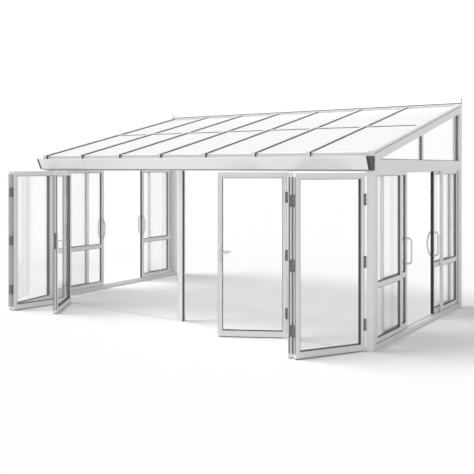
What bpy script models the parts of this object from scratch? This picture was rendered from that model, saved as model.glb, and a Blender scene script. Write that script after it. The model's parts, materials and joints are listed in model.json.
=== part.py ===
"""Lean-to glass conservatory: aluminium frame, two sets of folding doors, two sliding walls.

X runs along the front to the right, Y runs back to the house wall and Z is up. The origin is
on the floor under the middle post, in line with the centres of the corner posts. All lengths
are in metres.
"""
import math

import bmesh
import bpy
from mathutils import Matrix

# Whole building
WIDTH = 5.75                # over the outer faces of the corner posts
DEPTH = 3.24                # from the front faces of the posts to the house wall
HEAD_HEIGHT = 2.105         # underside of the eaves beam and of the side beams
EAVES_RISE = 0.247          # from there to the top of the roof bars at the front
ROOF_RISE = 0.780           # from the bars' front ends to the house wall
SEAT_GAP = 0.0003           # between pieces that touch
MERGE = 0.00001
OVERCUT = 0.050             # how far a cutter runs past the piece that it cuts
WELD = 0.0015               # overlap of shapes that are joined into one piece

# Posts
POST_WIDTH = 0.080
POST_DEPTH = 0.100
MIDDLE_POST_WIDTH = 0.085
MIDDLE_POST_NOSE = 0.035    # the middle post stands this far in front of the others
POST_BEVEL = 0.003

# Eaves beam, gutter and threshold
BEAM_OVERHANG = 0.030       # beams and end rafters stand this far outside the posts
GUTTER_OVERHANG = 0.020
GUTTER_LIFT = 0.018         # gutter above the door head
GUTTER_HEIGHT = 0.157
GUTTER_TOP_REACH = 0.155    # how far the rim stands out from the beam
GUTTER_BOTTOM_REACH = 0.090
GUTTER_WALL = 0.004
GUTTER_RIM = 0.014
GUTTER_CAP_LENGTH = 0.034
GUTTER_CAP_LIP = 0.003
THRESHOLD_WIDTH = 0.040
THRESHOLD_HEIGHT = 0.006
TRACK_WIDTH = 0.012
THRESHOLD_TRACK_DEPTH = 0.004
HEAD_TRACK_DEPTH = 0.012
HEAD_TRACK_NOSE = 0.038     # head track in front of the eaves beam, under the gutter

# Roof
BAYS = 7
RAFTER_WIDTH = 0.060
END_RAFTER_WIDTH = 0.080
RAFTER_DEPTH = 0.140        # measured plumb, cap included
CAP_DEPTH = 0.014           # bar cap above the glass
ROOF_GLASS = 0.010
END_PLATE = 0.006           # closes the front end of each bar
BAR_NOSE = 0.030            # end of each bar in front of the eaves beam
BAR_NOSE_HEIGHT = 0.061
RAFTER_HEEL = 0.012         # solid end at the wall plate
GLASS_COVER = 0.060         # roof glass under the end rafters' caps
CROSSBAR_WIDTH = 0.050
CROSSBAR_WEB = 0.010
CROSSBAR_DROP = 0.050       # below the glass
CROSSBAR_RISE = 0.007       # above the glass
WALL_PLATE_DEPTH = 0.060
WALL_PLATE_DROP = 0.030     # below the rafters' undersides
FLASHING_HEIGHT = 0.093
FLASHING_THICKNESS = 0.004

# Side walls
SIDE_BEAM_HEIGHT = 0.138
SIDE_TRACK_WIDTH = 0.097    # sill and head track, from the posts' outer faces inward
SILL_HEIGHT = 0.056
HEAD_PLATE = 0.006
SCREEN_THICKNESS = 0.036    # every leaf of the side walls
FIXED_INSET = 0.006         # fixed leaves behind the posts' outer faces
SCREEN_SPACING = 0.007      # between the fixed and the sliding leaves
SCREEN_STILE = 0.050
SCREEN_TOP_RAIL = 0.040
SCREEN_BOTTOM_RAIL = 0.068
MID_RAIL_TOP = 0.784
MID_RAIL_HEIGHT = 0.050
FIXED_WIDTH = {"front": 0.808, "back": 0.705}     # of the fixed leaves at each end
INTERLOCK = 0.048           # overlap of a sliding leaf and its fixed leaf when shut
MEETING_GAP = 0.006         # between the two sliding leaves when shut
RAIL_WIDTH = 0.006
RAIL_HEIGHT = 0.012
LEAF_CLEARANCE = 0.005      # sliding leaf above the sill and below the head track
GUIDE_GROOVE = 0.016
GUIDE_DEPTH = 0.020
FIN_DEPTH = 0.017
ROLLER_RADIUS = 0.010
ROLLER_WIDTH = 0.010
ROLLER_INSET = 0.120
GLASS_THICKNESS = 0.012
GLASS_INSET = 0.012         # glass edge inside the frame's groove

# How far the photo shows each sliding leaf from its shut place
SLID_OPEN = {
    ("left", "front"): 0.4525, ("left", "back"): 0.5255,
    ("right", "front"): 0.4745, ("right", "back"): 0.4955,
}

# Pull handles
PULL_RADIUS = 0.010
PULL_BOTTOM = 0.900
PULL_HEIGHT = 0.320
PULL_REACH = 0.070          # from the leaf's face to the bar's centre
BOW_REACH = 0.060           # the same for the bow inside
BOW_STAND = 0.018           # straight ends of the bow
BOW_STEPS = 14
PULL_CORNER = 0.025
PULL_SETBACK = 0.025        # from the leading edge

# Gable ends
GABLE_GLASS_BACK = 0.010    # behind the posts' outer faces
GABLE_GLASS_START = 0.200
MULLION_WIDTH = 0.050
MULLION_DEPTH = 0.040

# Folding doors
FOLD_THICKNESS = 0.058
FOLD_STILE = 0.048
FOLD_TOP_RAIL = 0.062
FOLD_BOTTOM_RAIL = 0.066
FOLD_BOTTOM = 0.010
FOLD_HEAD_GAP = 0.018
FOLD_GLASS_INSET = 0.008    # clear of the lock plates
PIVOT_NOSE = 0.006          # pivot line in front of the posts' front faces
BARREL_RADIUS = 0.012
BARREL_LENGTH = 0.136
BARREL_HEIGHTS = (0.311, 1.045, 1.775)
BARREL_BITE = 0.002         # leaf edge short of the far pivot
HANGING_GAP = 0.004         # leaf edge clear of the corner post's hinge line
KNUCKLE_LENGTH = 0.040
PIN_RADIUS = 0.004
FREE_EDGE = 0.004
DOOR_LESS = 0.036           # how much narrower the door leaf is
FOLD_ANGLE = {"right": 59.0, "left": 79.9}
DOOR_ANGLE = {"right": 29.6, "left": 54.8}

# Lever handles
LEVER_HEIGHT = 1.070
LEVER_RADIUS = 0.008
LEVER_LENGTH = 0.130
LEVER_REACH = 0.050
LEVER_CORNER = 0.016
SPINDLE_CLEARANCE = 0.0005
LOCK_PLATE_WIDTH = 0.030
LOCK_PLATE_HEIGHT = 0.220
LOCK_PLATE_THICKNESS = 0.006

# Worked out from the sizes above
HALF = WIDTH / 2
EAVES_TOP = HEAD_HEIGHT + EAVES_RISE
RIDGE_TOP = EAVES_TOP + ROOF_RISE
GUTTER_BOTTOM = HEAD_HEIGHT + GUTTER_LIFT
GUTTER_TOP = GUTTER_BOTTOM + GUTTER_HEIGHT
PULL_TOP = PULL_BOTTOM + PULL_HEIGHT
FRONT = -POST_DEPTH / 2
WALL = FRONT + DEPTH
SLOPE = (RIDGE_TOP - EAVES_TOP) / DEPTH
SIDE_START = FRONT + POST_DEPTH
SIDE_END = WALL - POST_DEPTH
FRONT_LEAF_END = SIDE_START + SEAT_GAP + FIXED_WIDTH["front"]
BACK_LEAF_START = SIDE_END - SEAT_GAP - FIXED_WIDTH["back"]
MEETING_LINE = (FRONT_LEAF_END + BACK_LEAF_START) / 2
LEAF_WIDTH = (BACK_LEAF_START - FRONT_LEAF_END + 2 * INTERLOCK - MEETING_GAP) / 2
SIDE_BEAM_TOP = HEAD_HEIGHT + SIDE_BEAM_HEIGHT
PLATE_FRONT = WALL - WALL_PLATE_DEPTH
PIVOT_Y = FRONT - PIVOT_NOSE
DOORWAY = HALF - POST_WIDTH - MIDDLE_POST_WIDTH / 2
FOLD_PITCH = (DOORWAY - BARREL_RADIUS - SEAT_GAP + DOOR_LESS) / 3
DOOR_PITCH = FOLD_PITCH - DOOR_LESS
FOLD_TOP = HEAD_HEIGHT - FOLD_HEAD_GAP
FIXED_CENTRE = HALF - FIXED_INSET - SCREEN_THICKNESS / 2
SLIDING_CENTRE = FIXED_CENTRE - SCREEN_THICKNESS - SCREEN_SPACING
SIGN = {"left": -1, "right": 1}


def roof_height(y, drop=0.0):
    """Height of the roof bars' top above a point y, less a plumb drop."""
    return EAVES_TOP + (y - FRONT) * SLOPE - drop


def clear_scene():
    for thing in list(bpy.data.objects):
        bpy.data.objects.remove(thing, do_unlink=True)


def make_collection(name):
    collection = bpy.data.collections.new(name)
    bpy.context.scene.collection.children.link(collection)
    return collection


def make_material(name, colour, roughness, metallic=0.0, alpha=1.0):
    made = bpy.data.materials.new(name)
    made.use_nodes = True
    shader = made.node_tree.nodes["Principled BSDF"]
    shader.inputs["Base Color"].default_value = (*colour, 1.0)
    shader.inputs["Roughness"].default_value = roughness
    shader.inputs["Metallic"].default_value = metallic
    shader.inputs["Alpha"].default_value = alpha
    return made


clear_scene()
PARTS = make_collection("conservatory")
CUTTERS = make_collection("cutters")


def add_object(name, mesh, colour, parent=None):
    """Put a mesh in the model, with its own material in the given colour."""
    made = bpy.data.objects.new(name, mesh)
    PARTS.objects.link(made)
    mesh.materials.clear()
    mesh.materials.append(make_material(name, *FINISHES[colour]))
    made.parent = parent
    return made


def add_cutter(name, mesh, parent=None):
    """Put a mesh among the shapes that are only cut away or joined on."""
    made = bpy.data.objects.new(name, mesh)
    CUTTERS.objects.link(made)
    made.hide_render = True
    made.display_type = "WIRE"
    made.parent = parent
    return made


def add_pivot(name, location, heading=0.0):
    pivot = bpy.data.objects.new(name, None)
    PARTS.objects.link(pivot)
    pivot.location = location
    pivot.rotation_euler = (0.0, 0.0, heading)
    return pivot


def combine(target, shape, operation):
    """Cut a shape from a piece (DIFFERENCE) or join it on (UNION)."""
    step = target.modifiers.new(shape.name, "BOOLEAN")
    step.operation = operation
    step.solver = "EXACT"
    step.object = shape


def round_edges(target, width, segments=2):
    step = target.modifiers.new("edges", "BEVEL")
    step.width = width
    step.segments = segments
    step.limit_method = "ANGLE"
    step.angle_limit = math.radians(40)


def mesh_from_curve(name, curve):
    """Turn a curve into a welded mesh with its faces pointing out."""
    holder = bpy.data.objects.new(name, curve)
    bpy.context.scene.collection.objects.link(holder)
    graph = bpy.context.evaluated_depsgraph_get()
    mesh = bpy.data.meshes.new_from_object(holder.evaluated_get(graph))
    bpy.data.objects.remove(holder, do_unlink=True)
    work = bmesh.new()
    work.from_mesh(mesh)
    bmesh.ops.remove_doubles(work, verts=work.verts, dist=MERGE)
    bmesh.ops.recalc_face_normals(work, faces=work.faces)
    work.to_mesh(mesh)
    work.free()
    mesh.name = name
    return mesh


def extrusion(name, axis, outlines, low, high):
    """A flat outline, with holes after the first, drawn out along an axis from low to high.

    The outline is in Y and Z for an extrusion along x, and in X and Z for one along y.
    """
    curve = bpy.data.curves.new(name, "CURVE")
    curve.dimensions = "2D"
    curve.fill_mode = "BOTH"
    curve.extrude = (high - low) / 2
    for outline in outlines:
        spline = curve.splines.new("POLY")
        spline.points.add(len(outline) - 1)
        for point, (a, b) in zip(spline.points, outline):
            point.co = (a, b, 0.0, 1.0)
        spline.use_cyclic_u = True
    mesh = mesh_from_curve(name, curve)
    middle = (low + high) / 2
    turn = {
        "x": Matrix(((0, 0, 1, middle), (1, 0, 0, 0), (0, 1, 0, 0), (0, 0, 0, 1))),
        "y": Matrix(((1, 0, 0, 0), (0, 0, -1, middle), (0, 1, 0, 0), (0, 0, 0, 1))),
    }[axis]
    mesh.transform(turn)
    return mesh


def rectangle(a_low, a_high, b_low, b_high):
    return [(a_low, b_low), (a_high, b_low), (a_high, b_high), (a_low, b_high)]


def block(name, low, high):
    """A rectangular block between two opposite corners."""
    work = bmesh.new()
    bmesh.ops.create_cube(work, size=1.0)
    size = [b - a for a, b in zip(low, high)]
    centre = [(a + b) / 2 for a, b in zip(low, high)]
    place = Matrix.Translation(centre) @ Matrix.Diagonal((*size, 1.0))
    bmesh.ops.transform(work, matrix=place, verts=work.verts)
    mesh = bpy.data.meshes.new(name)
    work.to_mesh(mesh)
    work.free()
    return mesh


def rod(name, centre, radius, length, axis="z", sides=20):
    """A round bar centred on a point, along z or y."""
    work = bmesh.new()
    bmesh.ops.create_cone(work, cap_ends=True, segments=sides, radius1=radius, radius2=radius,
                          depth=length)
    turn = Matrix.Rotation(math.radians(90), 4, "X") if axis == "y" else Matrix()
    bmesh.ops.transform(work, matrix=Matrix.Translation(centre) @ turn, verts=work.verts)
    mesh = bpy.data.meshes.new(name)
    work.to_mesh(mesh)
    work.free()
    return mesh


def rounded(points, radius, steps=5, closed=False):
    """Points of a path with each corner replaced by an arc (corners are square)."""
    count = len(points)
    path = []
    for index, corner in enumerate(points):
        if not closed and index in (0, count - 1):
            path.append(corner)
            continue
        before = points[index - 1]
        after = points[(index + 1) % count]
        back = unit([b - c for b, c in zip(before, corner)])
        on = unit([a - c for a, c in zip(after, corner)])
        centre = [c + radius * (p + q) for c, p, q in zip(corner, back, on)]
        for step in range(steps + 1):
            turn = math.radians(90) * step / steps
            path.append([m - radius * (q * math.cos(turn) + p * math.sin(turn))
                         for m, p, q in zip(centre, back, on)])
    return path


def unit(vector):
    length = math.sqrt(sum(part * part for part in vector))
    return [part / length for part in vector]


def tube(name, points, radius, closed=False):
    """A round bar bent along a path of points."""
    curve = bpy.data.curves.new(name, "CURVE")
    curve.dimensions = "3D"
    curve.bevel_depth = radius
    curve.bevel_resolution = 2
    curve.use_fill_caps = not closed
    spline = curve.splines.new("POLY")
    spline.points.add(len(points) - 1)
    for point, place in zip(spline.points, points):
        point.co = (*place, 1.0)
    spline.use_cyclic_u = closed
    return mesh_from_curve(name, curve)


FINISHES = {
    "white": ((0.84, 0.85, 0.86), 0.35, 0.0),
    "glass": ((0.86, 0.90, 0.91), 0.05, 0.0, 0.25),
    "dark": ((0.06, 0.06, 0.065), 0.45, 0.0),
    "metal": ((0.62, 0.63, 0.64), 0.30, 1.0),
}


def build_posts():
    front_height = HEAD_HEIGHT - SEAT_GAP
    plate_bottom = roof_height(PLATE_FRONT, RAFTER_DEPTH) - WALL_PLATE_DROP
    for side, sign in SIGN.items():
        inner, outer = sorted((sign * (HALF - POST_WIDTH), sign * HALF))
        mesh = block("post", (inner, FRONT, 0.0), (outer, SIDE_START, front_height))
        post = add_object("front_corner_post_" + side, mesh, "white")
        round_edges(post, POST_BEVEL)
        # The back post stops under the wall plate and follows the end rafter's underside. It
        # is as wide as the side beam and the end rafter, whose outer faces run on into it.
        outline = [
            (SIDE_END, 0.0), (WALL, 0.0), (WALL, plate_bottom - SEAT_GAP),
            (PLATE_FRONT - SEAT_GAP, plate_bottom - SEAT_GAP),
            (PLATE_FRONT - SEAT_GAP, roof_height(PLATE_FRONT, RAFTER_DEPTH) - SEAT_GAP),
            (SIDE_END, roof_height(SIDE_END, RAFTER_DEPTH) - SEAT_GAP),
        ]
        inner, outer = sorted((sign * (HALF - POST_WIDTH), sign * (HALF + BEAM_OVERHANG)))
        mesh = extrusion("back_post", "x", [outline], inner, outer)
        post = add_object("back_post_" + side, mesh, "white")
        combine(post, GABLE_GROOVES[side], "DIFFERENCE")
    half = MIDDLE_POST_WIDTH / 2
    mesh = block("middle_post", (-half, FRONT - MIDDLE_POST_NOSE, 0.0),
                 (half, -FRONT, front_height))
    round_edges(add_object("middle_post", mesh, "white"), POST_BEVEL)


def build_thresholds():
    for side, sign in SIGN.items():
        inner, outer = sorted((sign * (MIDDLE_POST_WIDTH / 2 + SEAT_GAP),
                               sign * (HALF - POST_WIDTH - SEAT_GAP)))
        track_low = PIVOT_Y - TRACK_WIDTH / 2
        track_high = PIVOT_Y + TRACK_WIDTH / 2
        floor = THRESHOLD_HEIGHT - THRESHOLD_TRACK_DEPTH
        front = PIVOT_Y - THRESHOLD_WIDTH / 2
        back = PIVOT_Y + THRESHOLD_WIDTH / 2
        ramp = THRESHOLD_HEIGHT / 2
        outline = [
            (front, 0.0), (back, 0.0), (back, ramp), (back - ramp, THRESHOLD_HEIGHT),
            (track_high, THRESHOLD_HEIGHT), (track_high, floor), (track_low, floor),
            (track_low, THRESHOLD_HEIGHT), (front + ramp, THRESHOLD_HEIGHT), (front, ramp),
        ]
        mesh = extrusion("threshold", "x", [outline], inner, outer)
        add_object("threshold_" + side, mesh, "white")


def rafter_places():
    """Name, left face and right face of each rafter."""
    reach = HALF + BEAM_OVERHANG
    first = -HALF + END_RAFTER_WIDTH / 2
    places = [("end_rafter_left", -reach, -reach + END_RAFTER_WIDTH)]
    for number in range(1, BAYS):
        centre = first + (WIDTH - END_RAFTER_WIDTH) * number / BAYS
        places.append((f"rafter_{number}", centre - RAFTER_WIDTH / 2, centre + RAFTER_WIDTH / 2))
    places.append(("end_rafter_right", reach - END_RAFTER_WIDTH, reach))
    return places


def sloped(y_low, y_high, drop_top, drop_bottom):
    """Outline of a bar that follows the roof, between two plumb drops from its top."""
    return [
        (y_low, roof_height(y_low, drop_bottom)), (y_high, roof_height(y_high, drop_bottom)),
        (y_high, roof_height(y_high, drop_top)), (y_low, roof_height(y_low, drop_top)),
    ]


def build_eaves_beam():
    reach = HALF + BEAM_OVERHANG
    under_glass = CAP_DEPTH + ROOF_GLASS + SEAT_GAP
    track_low = PIVOT_Y - TRACK_WIDTH / 2
    track_high = PIVOT_Y + TRACK_WIDTH / 2
    track_top = HEAD_HEIGHT + HEAD_TRACK_DEPTH
    nose = FRONT - HEAD_TRACK_NOSE
    nose_top = GUTTER_BOTTOM - GUTTER_CAP_LIP - SEAT_GAP
    outline = [
        (nose, HEAD_HEIGHT), (track_low, HEAD_HEIGHT), (track_low, track_top),
        (track_high, track_top), (track_high, HEAD_HEIGHT), (-FRONT, HEAD_HEIGHT),
        (-FRONT, roof_height(-FRONT, under_glass)), (FRONT, roof_height(FRONT, under_glass)),
        (FRONT, nose_top), (nose, nose_top),
    ]
    mesh = extrusion("eaves_beam", "x", [outline], -reach, reach)
    beam = add_object("eaves_beam", mesh, "white")
    for name, left, right in rafter_places():
        notch = sloped(FRONT - OVERCUT, SIDE_START + OVERCUT, -RAFTER_DEPTH,
                       RAFTER_DEPTH + SEAT_GAP)
        spare = OVERCUT if name.startswith("end") else 0.0
        low = left - SEAT_GAP - (spare if left < -HALF else 0.0)
        high = right + SEAT_GAP + (spare if right > HALF else 0.0)
        shape = add_cutter(name + "_notch", extrusion("notch", "x", [notch], low, high))
        combine(beam, shape, "DIFFERENCE")


def build_gutter():
    """An open trough with a slanted front, a rolled rim and a dark cap on each end."""
    back = FRONT - SEAT_GAP
    top_front = FRONT - GUTTER_TOP_REACH
    bottom_front = FRONT - GUTTER_BOTTOM_REACH
    wall = GUTTER_WALL
    outline = [
        (back, GUTTER_TOP), (back, GUTTER_BOTTOM), (bottom_front, GUTTER_BOTTOM),
        (top_front, GUTTER_TOP - GUTTER_RIM), (top_front, GUTTER_TOP),
        (top_front + GUTTER_RIM, GUTTER_TOP), (top_front + GUTTER_RIM, GUTTER_TOP - GUTTER_RIM),
        (bottom_front + wall, GUTTER_BOTTOM + wall), (back - wall, GUTTER_BOTTOM + wall),
        (back - wall, GUTTER_TOP),
    ]
    reach = HALF + GUTTER_OVERHANG
    trough = reach - GUTTER_CAP_LENGTH - SEAT_GAP
    add_object("gutter", extrusion("gutter", "x", [outline], -trough, trough), "white")
    lip = GUTTER_CAP_LIP
    cap_outline = [
        (back, GUTTER_TOP + lip), (back, GUTTER_BOTTOM - lip),
        (bottom_front - lip, GUTTER_BOTTOM - lip),
        (top_front - lip, GUTTER_TOP - GUTTER_RIM), (top_front - lip, GUTTER_TOP + lip),
    ]
    for side, sign in SIGN.items():
        low, high = sorted((sign * (reach - GUTTER_CAP_LENGTH), sign * reach))
        mesh = extrusion("gutter_cap", "x", [cap_outline], low, high)
        add_object("gutter_cap_" + side, mesh, "dark")


def build_wall_plate():
    """The bar along the house wall, with an upstand that the wall's flashing covers."""
    bottom = roof_height(PLATE_FRONT, RAFTER_DEPTH) - WALL_PLATE_DROP
    outline = [
        (PLATE_FRONT, bottom), (WALL, bottom), (WALL, RIDGE_TOP + FLASHING_HEIGHT),
        (WALL - FLASHING_THICKNESS, RIDGE_TOP + FLASHING_HEIGHT),
        (WALL - FLASHING_THICKNESS, RIDGE_TOP), (PLATE_FRONT, roof_height(PLATE_FRONT)),
    ]
    reach = HALF + BEAM_OVERHANG
    add_object("wall_plate", extrusion("wall_plate", "x", [outline], -reach, reach), "white")


def glass_sheet(y_low, y_high, margin=0.0):
    """Outline of a roof glass sheet, or of the slot that it lies in."""
    return sloped(y_low - margin, y_high + margin, CAP_DEPTH - margin,
                  CAP_DEPTH + ROOF_GLASS + margin)


def build_roof():
    middle = (FRONT + WALL) / 2
    reach = HALF + BEAM_OVERHANG - END_RAFTER_WIDTH + GLASS_COVER
    front_edge = FRONT + END_PLATE
    back_edge = PLATE_FRONT - RAFTER_HEEL
    web = CROSSBAR_WEB / 2
    sheets = {
        "roof_glass_lower": (front_edge + SEAT_GAP, middle - web - SEAT_GAP),
        "roof_glass_upper": (middle + web + SEAT_GAP, back_edge - SEAT_GAP),
    }
    slots = []
    for name, (low, high) in sheets.items():
        add_object(name, extrusion(name, "x", [glass_sheet(low, high)], -reach, reach), "glass")
        slot = extrusion(name, "x", [glass_sheet(low, high, SEAT_GAP)],
                         -reach - SEAT_GAP, reach + SEAT_GAP)
        slots.append(add_cutter(name + "_slot", slot))

    places = rafter_places()
    bar_top = CAP_DEPTH - CROSSBAR_RISE
    bar_bottom = CAP_DEPTH + ROOF_GLASS + CROSSBAR_DROP
    bar_low = middle - CROSSBAR_WIDTH / 2
    bar_high = middle + CROSSBAR_WIDTH / 2
    left_end = places[0][2] + SEAT_GAP
    right_end = places[-1][1] - SEAT_GAP
    outline = sloped(bar_low, bar_high, bar_top, bar_bottom)
    crossbar = add_object("roof_crossbar",
                          extrusion("crossbar", "x", [outline], left_end, right_end), "white")
    notch_outline = sloped(bar_low - SEAT_GAP, bar_high + SEAT_GAP, bar_top - SEAT_GAP,
                           bar_bottom + SEAT_GAP)
    notch = add_cutter("crossbar_notch",
                       extrusion("notch", "x", [notch_outline], left_end, right_end))
    for slot in slots:
        combine(crossbar, slot, "DIFFERENCE")

    tip = FRONT - BAR_NOSE
    end = PLATE_FRONT - SEAT_GAP
    outline = [
        (FRONT, roof_height(FRONT, RAFTER_DEPTH)), (end, roof_height(end, RAFTER_DEPTH)),
        (end, roof_height(end)), (tip, roof_height(tip)),
        (tip, roof_height(tip, BAR_NOSE_HEIGHT)), (FRONT, roof_height(FRONT, BAR_NOSE_HEIGHT)),
    ]
    for name, left, right in places:
        rafter = add_object(name, extrusion("rafter", "x", [outline], left, right), "white")
        for slot in slots:
            combine(rafter, slot, "DIFFERENCE")
        if name.startswith("end"):
            side = name.rsplit("_", 1)[1]
            combine(rafter, GABLE_GROOVES[side], "DIFFERENCE")
        else:
            combine(rafter, notch, "DIFFERENCE")


def gable_outline(margin=0.0):
    """Outline of the glass between a side beam, its end rafter and the back post."""
    low = GABLE_GLASS_START - margin
    high = SIDE_END + GLASS_INSET + margin
    bottom = SIDE_BEAM_TOP - GLASS_INSET - margin
    drop = RAFTER_DEPTH - GLASS_INSET - margin
    return [(low, bottom), (high, bottom), (high, roof_height(high, drop)),
            (low, roof_height(low, drop))]


def gable_glass_faces(side, margin=0.0):
    outer = HALF - GABLE_GLASS_BACK + margin
    inner = HALF - GABLE_GLASS_BACK - GLASS_THICKNESS - margin
    return sorted((SIGN[side] * inner, SIGN[side] * outer))


def build_side_beams():
    """Side beams with the gable's middle bar standing on them."""
    middle = (SIDE_START + SIDE_END) / 2
    for side, sign in SIGN.items():
        inner, outer = sorted((sign * (HALF - SIDE_TRACK_WIDTH), sign * (HALF + BEAM_OVERHANG)))
        mesh = block("side_beam", (inner, SIDE_START + SEAT_GAP, HEAD_HEIGHT),
                     (outer, SIDE_END - SEAT_GAP, SIDE_BEAM_TOP))
        beam = add_object("side_beam_" + side, mesh, "white")
        under = sloped(FRONT, WALL, -RAFTER_DEPTH, RAFTER_DEPTH + SEAT_GAP)
        over = extrusion("rafter_seat", "x", [under], inner - OVERCUT, outer + OVERCUT)
        combine(beam, add_cutter("rafter_seat_" + side, over), "DIFFERENCE")
        low = middle - MULLION_WIDTH / 2
        high = middle + MULLION_WIDTH / 2
        drop = RAFTER_DEPTH + SEAT_GAP
        outline = [(low, SIDE_BEAM_TOP - GLASS_INSET), (high, SIDE_BEAM_TOP - GLASS_INSET),
                   (high, roof_height(high, drop)), (low, roof_height(low, drop))]
        centre = sum(gable_glass_faces(side)) / 2
        mesh = extrusion("mullion", "x", [outline], centre - MULLION_DEPTH / 2,
                         centre + MULLION_DEPTH / 2)
        combine(beam, add_cutter("gable_mullion_" + side, mesh), "UNION")
        combine(beam, GABLE_GROOVES[side], "DIFFERENCE")
        faces = gable_glass_faces(side)
        glass = extrusion("gable_glass", "x", [gable_outline()], *faces)
        add_object("gable_glass_" + side, glass, "glass")


def screen_outlines(start, end, bottom, top):
    """Outer edge and the two windows of a side wall leaf, in its length and height."""
    window_low = start + SCREEN_STILE
    window_high = end - SCREEN_STILE
    rail_bottom = MID_RAIL_TOP - MID_RAIL_HEIGHT
    sill = SILL_HEIGHT + SCREEN_BOTTOM_RAIL
    head = HEAD_HEIGHT - HEAD_PLATE - SCREEN_TOP_RAIL
    return [
        rectangle(start, end, bottom, top),
        rectangle(window_low, window_high, sill, rail_bottom),
        rectangle(window_low, window_high, MID_RAIL_TOP, head),
    ]


def screen_glass(start, end, margin=0.0):
    """Low and high corner of a side wall pane, in its length and height."""
    cover = SCREEN_STILE - GLASS_INSET - margin
    sill = SILL_HEIGHT + SCREEN_BOTTOM_RAIL - GLASS_INSET - margin
    head = HEAD_HEIGHT - HEAD_PLATE - SCREEN_TOP_RAIL + GLASS_INSET + margin
    return (start + cover, sill), (end - cover, head)


def build_side_screens():
    """The fixed part of each side wall: sill, head track and the two fixed leaves."""
    head_bottom = HEAD_HEIGHT - HEAD_PLATE
    start = SIDE_START + SEAT_GAP
    end = SIDE_END - SEAT_GAP
    for side, sign in SIGN.items():
        inner, outer = sorted((sign * (HALF - SIDE_TRACK_WIDTH), sign * HALF))
        screen = add_object("side_screen_" + side,
                            block("sill", (inner, start, 0.0), (outer, end, SILL_HEIGHT)), "white")
        head = block("head", (inner, start, head_bottom), (outer, end, HEAD_HEIGHT - SEAT_GAP))
        combine(screen, add_cutter("head_track_" + side, head), "UNION")
        centre = sign * SLIDING_CENTRE
        rail_low = centre - RAIL_WIDTH / 2
        rail_high = centre + RAIL_WIDTH / 2
        rail = block("rail", (rail_low, start, SILL_HEIGHT - WELD),
                     (rail_high, end, SILL_HEIGHT + RAIL_HEIGHT))
        fin = block("fin", (rail_low, start, head_bottom - FIN_DEPTH),
                    (rail_high, end, head_bottom + WELD))
        leaves = {"front": (start, FRONT_LEAF_END), "back": (BACK_LEAF_START, end)}
        face_low = sign * FIXED_CENTRE - SCREEN_THICKNESS / 2
        face_high = sign * FIXED_CENTRE + SCREEN_THICKNESS / 2
        glass_low = sign * FIXED_CENTRE - GLASS_THICKNESS / 2
        glass_high = sign * FIXED_CENTRE + GLASS_THICKNESS / 2
        for place, (low, high) in leaves.items():
            outlines = screen_outlines(low, high, SILL_HEIGHT - WELD, head_bottom + WELD)
            frame = extrusion("fixed_leaf", "x", outlines, face_low, face_high)
            combine(screen, add_cutter(f"fixed_leaf_{side}_{place}", frame), "UNION")
        combine(screen, add_cutter("rail_" + side, rail), "UNION")
        combine(screen, add_cutter("fin_" + side, fin), "UNION")
        for place, (low, high) in leaves.items():
            (y_low, z_low), (y_high, z_high) = screen_glass(low, high)
            pane = block("pane", (glass_low, y_low, z_low), (glass_high, y_high, z_high))
            add_object(f"fixed_glass_{side}_{place}", pane, "glass")
            (y_low, z_low), (y_high, z_high) = screen_glass(low, high, SEAT_GAP)
            groove = block("groove", (glass_low - SEAT_GAP, y_low, z_low),
                           (glass_high + SEAT_GAP, y_high, z_high))
            combine(screen, add_cutter(f"fixed_groove_{side}_{place}", groove), "DIFFERENCE")


def bow(start, height, reach):
    """Points of an arc that rises by a height from a point and stands out along y by a reach."""
    chord = abs(height)
    radius = (chord * chord / 4 + reach * reach) / (2 * abs(reach))
    half_angle = math.asin(chord / 2 / radius)
    path = []
    for step in range(BOW_STEPS + 1):
        turn = half_angle * (2 * step / BOW_STEPS - 1)
        out = radius * (math.cos(turn) - math.cos(half_angle))
        rise = (radius * math.sin(turn) + chord / 2) / chord * height
        path.append((start[0], start[1] + math.copysign(out, reach), start[2] + rise))
    return path


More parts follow.
